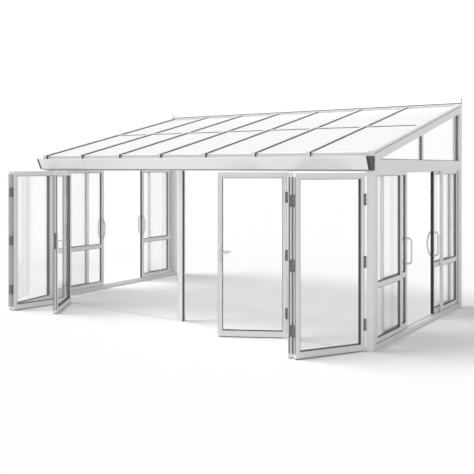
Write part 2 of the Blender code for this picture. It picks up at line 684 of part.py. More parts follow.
def build_sliding_leaf(side, place):
    """A sliding leaf; its own x runs from its leading edge back, its y is its thickness."""
    label = f"{side}_{place}"
    heading = math.radians(-90 if place == "front" else 90)
    opened = MEETING_GAP / 2 + SLID_OPEN[side, place]
    leading = MEETING_LINE + (-opened if place == "front" else opened)
    pivot = add_pivot("slide_" + label, (SIGN[side] * SLIDING_CENTRE, leading, 0.0), heading)
    bottom = SILL_HEIGHT + LEAF_CLEARANCE
    top = HEAD_HEIGHT - HEAD_PLATE - LEAF_CLEARANCE
    half = SCREEN_THICKNESS / 2
    frame = extrusion("sliding_leaf", "y", screen_outlines(0.0, LEAF_WIDTH, bottom, top),
                      -half, half)
    leaf = add_object("sliding_leaf_" + label, frame, "white", pivot)

    # The guide grooves run the whole length of both rails.
    guide = GUIDE_GROOVE / 2
    low_groove = block("groove", (-OVERCUT, -guide, bottom - GUIDE_DEPTH),
                       (LEAF_WIDTH + OVERCUT, guide, bottom + GUIDE_DEPTH))
    high_groove = block("groove", (-OVERCUT, -guide, top - GUIDE_DEPTH),
                        (LEAF_WIDTH + OVERCUT, guide, top + GUIDE_DEPTH))
    combine(leaf, add_cutter("low_groove_" + label, low_groove, pivot), "DIFFERENCE")
    combine(leaf, add_cutter("high_groove_" + label, high_groove, pivot), "DIFFERENCE")
    roller_height = SILL_HEIGHT + RAIL_HEIGHT + SEAT_GAP + ROLLER_RADIUS
    for number, inset in enumerate((ROLLER_INSET, LEAF_WIDTH - ROLLER_INSET)):
        roller = rod("roller", (inset, 0.0, roller_height), ROLLER_RADIUS, ROLLER_WIDTH, "y")
        combine(leaf, add_cutter(f"roller_{label}_{number}", roller, pivot), "UNION")

    thin = GLASS_THICKNESS / 2
    (x_low, z_low), (x_high, z_high) = screen_glass(0.0, LEAF_WIDTH)
    pane = block("pane", (x_low, -thin, z_low), (x_high, thin, z_high))
    add_object("sliding_glass_" + label, pane, "glass", pivot)
    (x_low, z_low), (x_high, z_high) = screen_glass(0.0, LEAF_WIDTH, SEAT_GAP)
    groove = block("groove", (x_low, -thin - SEAT_GAP, z_low), (x_high, thin + SEAT_GAP, z_high))
    combine(leaf, add_cutter("glass_groove_" + label, groove, pivot), "DIFFERENCE")

    # A bar handle outside and a bow inside, joined through the stile at both ends.
    out = SIGN[side] * (1 if place == "front" else -1)
    reach = out * (half + PULL_REACH)
    corners = [(PULL_SETBACK, 0.0, PULL_BOTTOM), (PULL_SETBACK, reach, PULL_BOTTOM),
               (PULL_SETBACK, reach, PULL_TOP), (PULL_SETBACK, 0.0, PULL_TOP)]
    path = rounded(corners, PULL_CORNER)
    foot = -out * (half + BOW_STAND)
    path += bow((PULL_SETBACK, foot, PULL_TOP), -PULL_HEIGHT, -out * (BOW_REACH - BOW_STAND))
    add_object("pull_handle_" + label, tube("pull", path, PULL_RADIUS, closed=True), "metal", pivot)
    for number, height in enumerate((PULL_BOTTOM, PULL_TOP)):
        hole = rod("hole", (PULL_SETBACK, 0.0, height), PULL_RADIUS + SEAT_GAP,
                   SCREEN_THICKNESS + OVERCUT, "y")
        combine(leaf, add_cutter(f"pull_hole_{label}_{number}", hole, pivot), "DIFFERENCE")


def fold_outlines(start, end):
    return [
        rectangle(start, end, FOLD_BOTTOM, FOLD_TOP),
        rectangle(start + FOLD_STILE, end - FOLD_STILE, FOLD_BOTTOM + FOLD_BOTTOM_RAIL,
                  FOLD_TOP - FOLD_TOP_RAIL),
    ]


def fold_glass(start, end, side, margin=0.0):
    """Corners of a folding leaf's pane, or of the groove that holds it."""
    cover = FOLD_STILE - FOLD_GLASS_INSET - margin
    low = FOLD_BOTTOM + FOLD_BOTTOM_RAIL - FOLD_GLASS_INSET - margin
    high = FOLD_TOP - FOLD_TOP_RAIL + FOLD_GLASS_INSET + margin
    centre = side * FOLD_THICKNESS / 2
    thin = GLASS_THICKNESS / 2 + margin
    return (start + cover, centre - thin, low), (end - cover, centre + thin, high)


def build_folding_leaf(name, pivot, side, start, end):
    """A door leaf; its own x runs from its pivot line, and its body lies to one side of it."""
    faces = sorted((0.0, side * FOLD_THICKNESS))
    frame = extrusion("folding_leaf", "y", fold_outlines(start, end), *faces)
    leaf = add_object(name, frame, "white", pivot)
    low, high = fold_glass(start, end, side, SEAT_GAP)
    groove = add_cutter(name + "_groove", block("groove", low, high), pivot)
    combine(leaf, groove, "DIFFERENCE")
    low, high = fold_glass(start, end, side)
    add_object(name + "_glass", block("pane", low, high), "glass", pivot)
    return leaf


def add_barrels(leaf, pivot, x, y):
    """Three hinge barrels on a leaf's edge."""
    for number, height in enumerate(BARREL_HEIGHTS):
        barrel = rod("barrel", (x, y, height), BARREL_RADIUS, BARREL_LENGTH)
        shape = add_cutter(f"{leaf.name}_barrel_{x:.2f}_{number}", barrel, pivot)
        combine(leaf, shape, "UNION")


def add_track_pins(leaf, pivot, x, y):
    """A knuckle and a pin at the foot and the head of a leaf, on its pivot line."""
    track_floor = THRESHOLD_HEIGHT - THRESHOLD_TRACK_DEPTH
    foot = FOLD_BOTTOM + KNUCKLE_LENGTH / 2
    head = FOLD_TOP - KNUCKLE_LENGTH / 2
    pin_bottom = track_floor + SEAT_GAP
    pin_top = HEAD_HEIGHT + HEAD_TRACK_DEPTH - SEAT_GAP
    shapes = {
        "foot": rod("knuckle", (x, y, foot), BARREL_RADIUS, KNUCKLE_LENGTH),
        "head": rod("knuckle", (x, y, head), BARREL_RADIUS, KNUCKLE_LENGTH),
        "foot_pin": rod("pin", (x, y, (pin_bottom + foot) / 2), PIN_RADIUS, foot - pin_bottom),
        "head_pin": rod("pin", (x, y, (pin_top + head) / 2), PIN_RADIUS, pin_top - head),
    }
    for label, mesh in shapes.items():
        combine(leaf, add_cutter(f"{leaf.name}_{label}", mesh, pivot), "UNION")


def build_door_lever(leaf, pivot, wing, side, end):
    """A lever on each face of a door, joined by a spindle through the stile."""
    x = end - FOLD_STILE / 2
    near, far = sorted((0.0, side * FOLD_THICKNESS))
    hub = add_pivot("lever_pivot_" + wing, (x, (near + far) / 2, LEVER_HEIGHT))
    hub.parent = pivot
    half = FOLD_THICKNESS / 2
    reach = half + LEVER_REACH
    corners = [(-LEVER_LENGTH, -reach, 0.0), (0.0, -reach, 0.0), (0.0, reach, 0.0),
               (-LEVER_LENGTH, reach, 0.0)]
    lever = tube("lever", rounded(corners, LEVER_CORNER), LEVER_RADIUS)
    add_object("lever_handle_" + wing, lever, "metal", hub)
    plate_half = LOCK_PLATE_WIDTH / 2
    depth = half + LOCK_PLATE_THICKNESS
    low = LEVER_HEIGHT - LOCK_PLATE_HEIGHT / 2
    plates = block("lock_plates", (x - plate_half, (near + far) / 2 - depth, low),
                   (x + plate_half, (near + far) / 2 + depth, low + LOCK_PLATE_HEIGHT))
    combine(leaf, add_cutter("lock_plates_" + wing, plates, pivot), "UNION")
    hole = rod("hole", (x, (near + far) / 2, LEVER_HEIGHT), LEVER_RADIUS + SPINDLE_CLEARANCE,
               FOLD_THICKNESS + OVERCUT, "y")
    combine(leaf, add_cutter("spindle_hole_" + wing, hole, pivot), "DIFFERENCE")


def turned(point, heading, x, y):
    """A point reached from another by going x along a heading and y to its left."""
    return (point[0] + x * math.cos(heading) - y * math.sin(heading),
            point[1] + x * math.sin(heading) + y * math.cos(heading))


def build_folding_set(wing):
    """Two folding leaves and a door, hung on a corner post and folded outward."""
    sign = SIGN[wing]
    side = -sign
    clear = BARREL_RADIUS + SEAT_GAP
    fold = math.radians(FOLD_ANGLE[wing])
    swing = math.radians(DOOR_ANGLE[wing])
    post_face = HALF - POST_WIDTH
    first = (sign * (post_face - clear), PIVOT_Y)
    # Headings, with the shut leaves running from the corner post to the middle post.
    shut = math.radians(180) if sign > 0 else 0.0
    headings = [shut + sign * fold, shut - sign * fold, shut + sign * swing]
    far = FOLD_PITCH - BARREL_BITE

    pivot = add_pivot("fold_hinge_" + wing, (*first, 0.0), headings[0])
    leaf = build_folding_leaf("folding_leaf_outer_" + wing, pivot, side, HANGING_GAP, far)
    add_barrels(leaf, pivot, 0.0, 0.0)
    add_barrels(leaf, pivot, FOLD_PITCH, side * FOLD_THICKNESS)
    add_track_pins(leaf, pivot, 0.0, 0.0)

    second = turned(first, headings[0], FOLD_PITCH, side * FOLD_THICKNESS)
    pivot = add_pivot("fold_middle_" + wing, (*second, 0.0), headings[1])
    leaf = build_folding_leaf("folding_leaf_inner_" + wing, pivot, -side, clear, far)
    add_barrels(leaf, pivot, FOLD_PITCH, -side * FOLD_THICKNESS)
    add_track_pins(leaf, pivot, FOLD_PITCH, -side * FOLD_THICKNESS)

    third = turned(second, headings[1], FOLD_PITCH, -side * FOLD_THICKNESS)
    pivot = add_pivot("door_hinge_" + wing, (*third, 0.0), headings[2])
    end = DOOR_PITCH - FREE_EDGE
    leaf = build_folding_leaf("door_leaf_" + wing, pivot, side, clear, end)
    build_door_lever(leaf, pivot, wing, side, end)


GABLE_GROOVES = {
    side: add_cutter("gable_groove_" + side,
                     extrusion("gable_groove", "x", [gable_outline(SEAT_GAP)],
                               *gable_glass_faces(side, SEAT_GAP)))
    for side in SIGN
}
build_posts()
build_thresholds()
build_eaves_beam()
build_gutter()
build_wall_plate()
build_roof()
build_side_beams()
build_side_screens()
for side, place in SLID_OPEN:
    build_sliding_leaf(side, place)
for wing in SIGN:
    build_folding_set(wing)
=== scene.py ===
import json
import math

import bmesh
import bpy
from mathutils import Matrix, Vector


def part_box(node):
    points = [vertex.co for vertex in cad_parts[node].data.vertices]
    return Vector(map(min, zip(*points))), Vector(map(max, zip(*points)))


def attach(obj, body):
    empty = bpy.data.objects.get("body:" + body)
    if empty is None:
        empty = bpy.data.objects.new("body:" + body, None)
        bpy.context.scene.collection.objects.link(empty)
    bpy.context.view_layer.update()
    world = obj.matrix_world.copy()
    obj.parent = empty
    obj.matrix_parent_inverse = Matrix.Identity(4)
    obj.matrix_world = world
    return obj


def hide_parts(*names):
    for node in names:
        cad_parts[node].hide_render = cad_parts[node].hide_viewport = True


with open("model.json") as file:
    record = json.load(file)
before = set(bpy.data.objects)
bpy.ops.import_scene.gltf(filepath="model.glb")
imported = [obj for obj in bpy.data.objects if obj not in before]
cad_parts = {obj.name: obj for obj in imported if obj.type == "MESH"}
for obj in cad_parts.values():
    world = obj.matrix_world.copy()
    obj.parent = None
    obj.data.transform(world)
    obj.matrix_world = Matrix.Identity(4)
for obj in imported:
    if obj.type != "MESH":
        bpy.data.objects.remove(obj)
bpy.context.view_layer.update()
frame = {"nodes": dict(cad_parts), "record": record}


# The view: the camera stands to the right of the building at eye height and looks level, with the
# picture shifted down, so that the posts stay upright. A soft sun from the left, a wide weak light
# from the front and a pale sky light the building on a floor that fades into white behind it.

IMAGE_SIZE = 474                # pixels, both ways
FOCAL_PIXELS = 698.0
HORIZON_ROW = 166.6
EYE = Vector((6.239, -7.606, 2.16))
LEVEL = math.radians(90)
EYE_TURN = math.radians(35.02)
SENSOR = 36.0                   # millimetres

camera_data = bpy.data.cameras.new("camera")
camera_data.sensor_width = SENSOR
camera_data.lens = FOCAL_PIXELS / IMAGE_SIZE * SENSOR
camera_data.shift_y = (HORIZON_ROW - IMAGE_SIZE / 2) / IMAGE_SIZE
camera = bpy.data.objects.new("camera", camera_data)
camera.location = EYE
camera.rotation_euler = (LEVEL, 0.0, EYE_TURN)
bpy.context.scene.collection.objects.link(camera)
bpy.context.scene.camera = camera
bpy.context.scene.view_settings.view_transform = "Standard"

SUN_STRENGTH = 1.94
SUN_SOFTNESS = math.radians(30)
SUN_FROM = Vector((-0.48, -0.24, 0.845))
FILL_STRENGTH = 0.27
FILL_SOFTNESS = math.radians(70)
FILL_FROM = Vector((-0.10, -0.95, 0.30))
SKY_STRENGTH = 0.455
WHITE_LIGHT = (1.0, 1.0, 1.0, 1.0)

for name, strength, softness, source in (("sun", SUN_STRENGTH, SUN_SOFTNESS, SUN_FROM),
                                         ("fill", FILL_STRENGTH, FILL_SOFTNESS, FILL_FROM)):
    lamp_data = bpy.data.lights.new(name, "SUN")
    lamp_data.energy = strength
    lamp_data.angle = softness
    lamp = bpy.data.objects.new(name, lamp_data)
    lamp.rotation_euler = source.to_track_quat("Z", "Y").to_euler()
    bpy.context.scene.collection.objects.link(lamp)

MIX_FIRST, MIX_SECOND, MIX_RESULT = 6, 7, 2     # the colour sockets of a Mix node


class Wire:
    """One value in a material's nodes. Sums on it add Math nodes, so they read as plain sums."""

    def __init__(self, tree, socket):
        self.tree = tree
        self.socket = socket

    def join(self, kind, settings=None, inputs=None, output=0):
        """Add a node: its settings come first, then values or wires for its inputs."""
        node = self.tree.nodes.new(kind)
        for name, value in (settings or {}).items():
            setattr(node, name, value)
        for name, value in (inputs or {}).items():
            if isinstance(value, Wire):
                self.tree.links.new(value.socket, node.inputs[name])
            else:
                node.inputs[name].default_value = value
        return Wire(self.tree, node.outputs[output])

    def sum(self, operation, first, second):
        return self.join("ShaderNodeMath", {"operation": operation}, {0: first, 1: second})

    def __add__(self, other):
        return self.sum("ADD", self, other)

    def __mul__(self, other):
        return self.sum("MULTIPLY", self, other)

    __radd__ = __add__
    __rmul__ = __mul__

    def noise(self, scale, detail, stretch=None):
        """Cloudy noise on the object's own coordinates, from 0 to 1, drawn out where asked."""
        place = self.join("ShaderNodeTexCoord", output="Object")
        if stretch:
            place = self.join("ShaderNodeMapping", None, {"Vector": place, "Scale": stretch})
        return self.join("ShaderNodeTexNoise", None,
                         {"Vector": place, "Scale": scale, "Detail": detail})

    def mix(self, first, second):
        """Blend two colours by this value."""
        return self.join("ShaderNodeMix", {"data_type": "RGBA"},
                         {"Factor": self, MIX_FIRST: (*first, 1.0), MIX_SECOND: (*second, 1.0)},
                         output=MIX_RESULT)

    def bump(self, height, strength):
        return self.join("ShaderNodeBump", None,
                         {"Height": self, "Distance": height, "Strength": strength})


def new_finish(name):
    """An empty material with a Principled shader, and a wire to start its sums from."""
    made = bpy.data.materials.new(name)
    made.use_nodes = True
    return made, made.node_tree.nodes["Principled BSDF"], Wire(made.node_tree, None)


def feed(shader, name, value):
    """Set a shader input to a value, or link a wire to it."""
    if isinstance(value, Wire):
        value.tree.links.new(value.socket, shader.inputs[name])
    else:
        shader.inputs[name].default_value = value


def white_for_lenses(tree):
    """1 on rays that leave the camera or come by way of glass or metal, and 0 on all others."""
    start = Wire(tree, None)
    camera_ray = start.join("ShaderNodeLightPath", output="Is Camera Ray")
    path = camera_ray.socket.node
    glossy = Wire(tree, path.outputs["Is Glossy Ray"])
    through = Wire(tree, path.outputs["Is Transmission Ray"])
    return start.sum("MAXIMUM", camera_ray, start.sum("MAXIMUM", glossy, through))


world = bpy.data.worlds.new("studio")
world.use_nodes = True
bpy.context.scene.world = world
background = world.node_tree.nodes["Background"]
background.inputs["Color"].default_value = WHITE_LIGHT
seen = white_for_lenses(world.node_tree)
feed(background, "Strength", seen * (1.0 - SKY_STRENGTH) + SKY_STRENGTH)

FLOOR_REACH = 60.0
FLOOR_DROP = 0.002
FLOOR_COLOUR = (0.98, 0.98, 0.98, 1.0)
FLOOR_ROUGHNESS = 0.6
FADE_CENTRE = (1.5, 1.0, 0.0)
FADE_NEAR = 6.0
FADE_FAR = 13.0

bpy.ops.object.select_all(action="DESELECT")
bpy.ops.mesh.primitive_plane_add(size=FLOOR_REACH, location=(0.0, 0.0, -FLOOR_DROP))
floor = bpy.context.object
floor.name = "floor"
floor_paint, floor_shader, wire = new_finish("white floor")
feed(floor_shader, "Base Color", FLOOR_COLOUR)
feed(floor_shader, "Roughness", FLOOR_ROUGHNESS)
feed(floor_shader, "Specular IOR Level", 0.0)
glow = wire.join("ShaderNodeEmission", None, {"Color": WHITE_LIGHT, "Strength": 1.0})
place = wire.join("ShaderNodeTexCoord", output="Object")
away = wire.join("ShaderNodeVectorMath", {"operation": "DISTANCE"},
                 {0: place, 1: FADE_CENTRE}, output="Value")
fade = wire.join("ShaderNodeMapRange", {"interpolation_type": "SMOOTHSTEP"},
                 {"Value": away, "From Min": FADE_NEAR, "From Max": FADE_FAR})
blend = wire.join("ShaderNodeMixShader", None,
                  {"Fac": fade * white_for_lenses(floor_paint.node_tree),
                   1: Wire(wire.tree, floor_shader.outputs[0]), 2: glow})
surface = floor_paint.node_tree.nodes["Material Output"].inputs["Surface"]
floor_paint.node_tree.links.new(blend.socket, surface)
floor.data.materials.append(floor_paint)


# The frame: extruded aluminium bars with a satin white powder coat, cut and joined at the works.
# The coat has a very fine orange-peel skin and a slight unevenness from the spray. The gutter has a
# glossier white coat, painted paler than the frame's as a painted highlight for the light that its
# face catches from the floor.

SKIN_DETAIL = 1.0


def coated(name, dark, light, patches, grain, rough, skin=None, lacquer=None, metallic=0.0):
    """A finish between two close colours, which change in patches, with an uneven roughness.

    patches and grain are the scale and detail of a noise, and rough is the least roughness and
    what the grain adds. skin is the scale, height and strength of fine bumps. lacquer is the scale
    and detail of a noise in the weight of a clear coat, its least weight and what the noise adds.
    """
    made, shader, wire = new_finish(name)
    feed(shader, "Base Color", wire.noise(*patches).mix(dark, light))
    feed(shader, "Metallic", metallic)
    least, more = rough
    feed(shader, "Roughness", wire.noise(*grain) * more + least)
    if skin:
        scale, height, strength = skin
        feed(shader, "Normal", wire.noise(scale, SKIN_DETAIL).bump(height, strength))
    if lacquer:
        scale, detail, least, more = lacquer
        feed(shader, "Coat Weight", wire.noise(scale, detail) * more + least)
    return made


white_coat = coated("white powder coat", (0.81, 0.82, 0.83), (0.85, 0.86, 0.87),
                    patches=(3.0, 4.0), grain=(14.0, 3.0), rough=(0.28, 0.12),
                    skin=(900.0, 0.00004, 0.4))
# Painted highlight: the gutter's coat is paler than the frame's, for the light its face catches.
gutter_coat_painted_bright = coated("white gutter enamel", (0.90, 0.905, 0.91), (0.94, 0.945, 0.95),
                     patches=(3.0, 4.0), grain=(14.0, 3.0), rough=(0.20, 0.10),
                     lacquer=(6.0, 2.0, 0.4, 0.2))


# The panes: clear toughened glass in the walls, which mirrors the sky where it is seen at a slant,
# and coated glass in the roof, which mirrors far more of it. Rain has left faint streaks on both.

GLASS_IOR = 1.5
FILM_SCALE = 2.0
FILM_DETAIL = 3.0
FILM_SHADE = 0.97               # of the tint, where the film is thin
FILM_ROUGH = 0.04
FULLEST = 0.96                  # the most that a pane covers, at the flattest slant


def glaze(name, tint, mirror, body, rough, streaks):
    """Glass that is see-through head on and mirrors more and more towards a slant."""
    made, shader, wire = new_finish(name)
    slant = wire.join("ShaderNodeFresnel", None, {"IOR": GLASS_IOR})
    film = wire.noise(FILM_SCALE, FILM_DETAIL, streaks)
    feed(shader, "Base Color", film.mix([FILM_SHADE * part for part in tint], tint))
    feed(shader, "Metallic", 1.0)
    feed(shader, "Roughness", film * FILM_ROUGH + rough)
    feed(shader, "Alpha", wire.sum("MINIMUM", slant * mirror + film * body, FULLEST))
    return made


clear_glass = glaze("clear glass", (0.955, 0.965, 0.965), mirror=0.30, body=0.04, rough=0.02,
                    streaks=(4.0, 4.0, 0.4))
roof_glass = glaze("coated roof glass", (0.97, 0.975, 0.975), mirror=2.6, body=0.14, rough=0.08,
                   streaks=(5.0, 0.5, 0.5))


# The dark end caps, moulded in grit-grey plastic, the black rubber of seals and gaskets, the
# brushed aluminium of handles, the bright bare sheet of the roof's edges and the grey of hinges.

dark_plastic = coated("dark plastic", (0.035, 0.035, 0.038), (0.06, 0.06, 0.063),
                      patches=(60.0, 3.0), grain=(90.0, 2.0), rough=(0.40, 0.15),
                      skin=(1500.0, 0.00006, 0.5))
rubber = coated("black rubber", (0.075, 0.075, 0.079), (0.115, 0.115, 0.120),
                patches=(25.0, 3.0), grain=(120.0, 2.0), rough=(0.55, 0.15),
                skin=(2500.0, 0.00004, 0.6))
black_rubber = coated("deep black rubber", (0.016, 0.016, 0.018), (0.030, 0.030, 0.033),
                      patches=(25.0, 3.0), grain=(120.0, 2.0), rough=(0.50, 0.15),
                      skin=(2500.0, 0.00004, 0.6))
brushed_metal = coated("brushed aluminium", (0.58, 0.59, 0.60), (0.68, 0.69, 0.70),
                       patches=(40.0, 3.0), grain=(500.0, 2.0), rough=(0.28, 0.14), metallic=1.0)
bright_sheet = coated("bright bare sheet", (0.93, 0.935, 0.94), (0.97, 0.975, 0.98),
                      patches=(30.0, 3.0), grain=(300.0, 2.0), rough=(0.22, 0.12), metallic=1.0)
grey_hinge = coated("grey painted hinges", (0.15, 0.153, 0.157), (0.20, 0.203, 0.207),
                    patches=(50.0, 3.0), grain=(400.0, 2.0), rough=(0.38, 0.12),
                    skin=(1200.0, 0.00003, 0.4))

DRESS = {"white_frame": white_coat, "clear_glass": clear_glass, "roof_glass": roof_glass,
         "dark_cap": dark_plastic, "handle_metal": brushed_metal}
slots = {entry["node"]: entry["material_slot"] for entry in frame["record"]["subparts"]}
for name, piece in frame["nodes"].items():
    piece.data.materials.clear()
    # The gutter takes the paler coat, which is a painted highlight.
    piece.data.materials.append(gutter_coat_painted_bright if name == "gutter" else DRESS[slots[name]])


# The roof bars: each has a pressed cap along its top, screwed down over the glass on two runs of
# black rubber, and a dark plate on both sides of the nose that stands over the gutter, which is
# painted shade for the nose's shaded sides. The joint under the cap shows as a dark line on the
# outer sides of the two end bars.

ROOF_RISE = 0.78
ROOF_RUN = 3.24
SLOPE = ROOF_RISE / ROOF_RUN
FRONT = -0.05                   # front faces of the corner posts
WALL = 3.19                     # the house wall
EAVES_TOP = 2.352
PLATE_FRONT = WALL - 0.06       # of the wall plate
STRIP_END = PLATE_FRONT - 0.001
END_BAR_FACE = 2.88             # the outer faces of the end bars lie further out than this
SET_IN = 0.0002                 # how far strips and fittings go into what carries them
CAP_DEPTH = 0.014               # of a bar's cap above the glass
ROOF_GASKET_WIDTH = 0.009
ROOF_GASKET_START = FRONT + 0.004
ROOF_GASKET_TOP = 0.0078        # below the cap's top
ROOF_GASKET_UNDER = 0.001       # hidden under the cap
NOSE_FRONT = FRONT - 0.030
# Dark plates on the sides of each bar's nose, painted shade for its shaded sides:
SHADE_PLATE = 0.0015
SHADE_PLATE_SUNK = 0.0005
SHADE_PLATE_FRONT = NOSE_FRONT + 0.001
SHADE_PLATE_BACK = FRONT - 0.0005
SHADE_PLATE_DROP = 0.059              # below the cap's top
JOINT_LINE = 0.008
JOINT_PROUD = 0.0006
JOINT_SUNK = 0.002
JOINT_DROP = 0.033
SCREW_RADIUS = 0.0055
SCREW_HEAD = 0.0025
SCREW_ROUND = 0.0008
SCREW_SIDES = 12
CAP_SCREWS = 8
CAP_MARGIN = 0.06               # from a cap's end to its first screw
SMOOTH_UNDER = math.radians(35)
PARALLEL = 0.9                  # least cosine of an edge or a normal that runs along an axis
EXACT = 0.99                    # the same, where rounded edges lie close by
ACROSS = 0.1                    # most cosine of one that runs across it
DISC_RING = 0.35                # of a disc's radius


def sloped(height):
    """Turn what lies flat at z = 0 up to the roof's slope, through a height at y = 0."""
    return Matrix(((1, 0, 0, 0), (0, 1, 0, 0), (0, SLOPE, 1, height), (0, 0, 0, 1)))


def span(face, way, sunk, proud):
    """From sunk under a face to proud in front of it, the lower first. way is where it faces."""
    return sorted((face - way * sunk, face + way * proud))


def spread(first, last, count):
    """Evenly spaced places from the first to the last."""
    return [first + (last - first) * step / (count - 1) for step in range(count)]


def between(name, low, high):
    """A block between two corners as a new piece, in edit mode with nothing selected."""
    low, high = Vector(low), Vector(high)
    bpy.ops.object.select_all(action="DESELECT")
    bpy.ops.mesh.primitive_cube_add(size=1.0, location=(low + high) / 2)
    piece = bpy.context.object
    piece.name = piece.data.name = name
    piece.scale = high - low
    bpy.ops.object.transform_apply(location=True, rotation=True, scale=True)
    bpy.ops.object.mode_set(mode="EDIT")
    bpy.ops.mesh.select_all(action="DESELECT")
    return piece


def choose(piece, kind, test):
    """Select only the faces or edges whose centre and direction pass a test."""
    bpy.ops.mesh.select_all(action="DESELECT")
    bpy.ops.mesh.select_mode(type=kind)
    mesh = bmesh.from_edit_mesh(piece.data)
    if kind == "FACE":
        for face in mesh.faces:
            face.select_set(bool(test(face.calc_center_median(), face.normal)))
    else:
        for edge in mesh.edges:
            start, end = (vert.co for vert in edge.verts)
            edge.select_set(bool(test((start + end) / 2, (end - start).normalized())))
    bmesh.update_edit_mesh(piece.data)


def leave(piece, move=None):
    """Leave edit mode, smooth what is rounded and move the mesh to its place."""
    bpy.ops.object.mode_set(mode="OBJECT")
    bpy.ops.object.shade_smooth_by_angle(angle=SMOOTH_UNDER)
    if move is not None:
        piece.data.transform(move)
    return piece


def bar(name, low, high, round_off, move=None, segments=2):
    """A straight strip with all its edges rounded."""
    piece = between(name, low, high)
    bpy.ops.mesh.select_all(action="SELECT")
    bpy.ops.mesh.bevel(offset=round_off, segments=segments, affect="EDGES")
    return leave(piece, move)


def rod(name, centre, axis, radius, length, sides):
    """A round bar as a new piece, in edit mode."""
    bpy.ops.object.select_all(action="DESELECT")
    turn = Vector(axis).to_track_quat("Z", "Y").to_euler()
    bpy.ops.mesh.primitive_cylinder_add(vertices=sides, radius=radius, depth=length,
                                        location=centre, rotation=turn)
    bpy.ops.object.transform_apply(location=True, rotation=True, scale=True)
    piece = bpy.context.object
    piece.name = piece.data.name = name
    bpy.ops.object.mode_set(mode="EDIT")
    return piece


def disc(name, centre, axis, radius, thickness, round_off, sides=24):
    """A round plate with rounded rims and a shallow ring sunk in its outer face."""
    piece = rod(name, centre, axis, radius, thickness, sides)
    out = Vector(axis).normalized()
    choose(piece, "EDGE", lambda centre, along: abs(along.dot(out)) < ACROSS)
    bpy.ops.mesh.bevel(offset=round_off, segments=2, affect="EDGES")
    choose(piece, "FACE", lambda centre, normal: normal.dot(out) > EXACT)
    bpy.ops.mesh.inset(thickness=radius * DISC_RING)
    bpy.ops.transform.translate(value=-out * round_off / 2)
    return leave(piece)


def copy_of(piece, name, move):
    """A second piece of the same shape in another place, with its own mesh."""
    made = bpy.data.objects.new(name, piece.data.copy())
    made.data.transform(move)
    bpy.context.scene.collection.objects.link(made)
    return made


def join(name, pieces):
    """Make several pieces into one."""
    bpy.ops.object.select_all(action="DESELECT")
    for piece in pieces:
        piece.select_set(True)
    bpy.context.view_layer.objects.active = pieces[0]
    if len(pieces) > 1:
        bpy.ops.object.join()
    pieces[0].name = pieces[0].data.name = name
    return pieces[0]


def fit(piece, finish, body="frame"):
    """Give a piece its finish, and let it ride on a body."""
    piece.data.materials.clear()
    piece.data.materials.append(finish)
    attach(piece, body)
    return piece


def screw_row(name, centre, axis, spots):
    """Screws of one model in all the places given, as one piece."""
    screw = disc("screw", centre, axis, SCREW_RADIUS, SCREW_HEAD, SCREW_ROUND, SCREW_SIDES)
    screws = [copy_of(screw, "screw", spot) for spot in spots]
    bpy.data.objects.remove(screw)
    fit(join(name, screws), brushed_metal)


ON_ROOF = sloped(EAVES_TOP - FRONT * SLOPE)
bars = sorted(name for name in frame["nodes"] if "rafter" in name)
gaskets = []
shade_plates = []
spots = []
for name in bars:
    left, right = (corner[0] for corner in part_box(name))
    for face, way in ((left, -1), (right, 1)):
        if name.startswith("end") and face * way > END_BAR_FACE:
            low, high = span(face, way, JOINT_SUNK, JOINT_PROUD)
            gaskets.append(bar("joint", (low, NOSE_FRONT, -JOINT_DROP - JOINT_LINE),
                               (high, STRIP_END, -JOINT_DROP), 0.0003, ON_ROOF, segments=1))
            continue
        low, high = span(face, way, ROOF_GASKET_UNDER, ROOF_GASKET_WIDTH)
        gaskets.append(bar("gasket", (low, ROOF_GASKET_START, -CAP_DEPTH - SET_IN),
                           (high, STRIP_END, -ROOF_GASKET_TOP), 0.0012, ON_ROOF))
        # A dark plate on each side of the nose: painted shade.
        low, high = span(face, way, SHADE_PLATE_SUNK, SHADE_PLATE)
        shade_plates.append(bar("cheek", (low, SHADE_PLATE_FRONT, -SHADE_PLATE_DROP),
                          (high, SHADE_PLATE_BACK, -CAP_DEPTH / 2), 0.0005, ON_ROOF, segments=1))
    for along in spread(FRONT + CAP_MARGIN, PLATE_FRONT - CAP_MARGIN, CAP_SCREWS):
        spots.append(ON_ROOF @ Matrix.Translation(((left + right) / 2, along, 0)))
fit(join("roof_bar_gaskets", gaskets), rubber)
fit(join("roof_bar_cheeks", shade_plates), dark_plastic)
screw_row("roof_cap_screws", (0, 0, SCREW_HEAD / 2), (0, 0, 1), spots)


# The roof glass is held at its lower edge by an aluminium channel between each two bars, and by a
# rubber seal on both sides of the bar that crosses the roof half way up.

CHANNEL_FRONT = FRONT - 0.004
CHANNEL_BACK = FRONT + 0.016
CHANNEL_UNDER = 0.014           # the glass's upper face
CHANNEL_OVER = 0.003
EDGE_LINE_WIDTH = 0.005
EDGE_LINE_OVER = 0.0025
CROSSBAR_HALF = 0.025
CROSS_SEAL_WIDTH = 0.010
CROSS_SEAL_TOP = 0.0095         # below the top of the bars' caps
MIDDLE = (FRONT + WALL) / 2

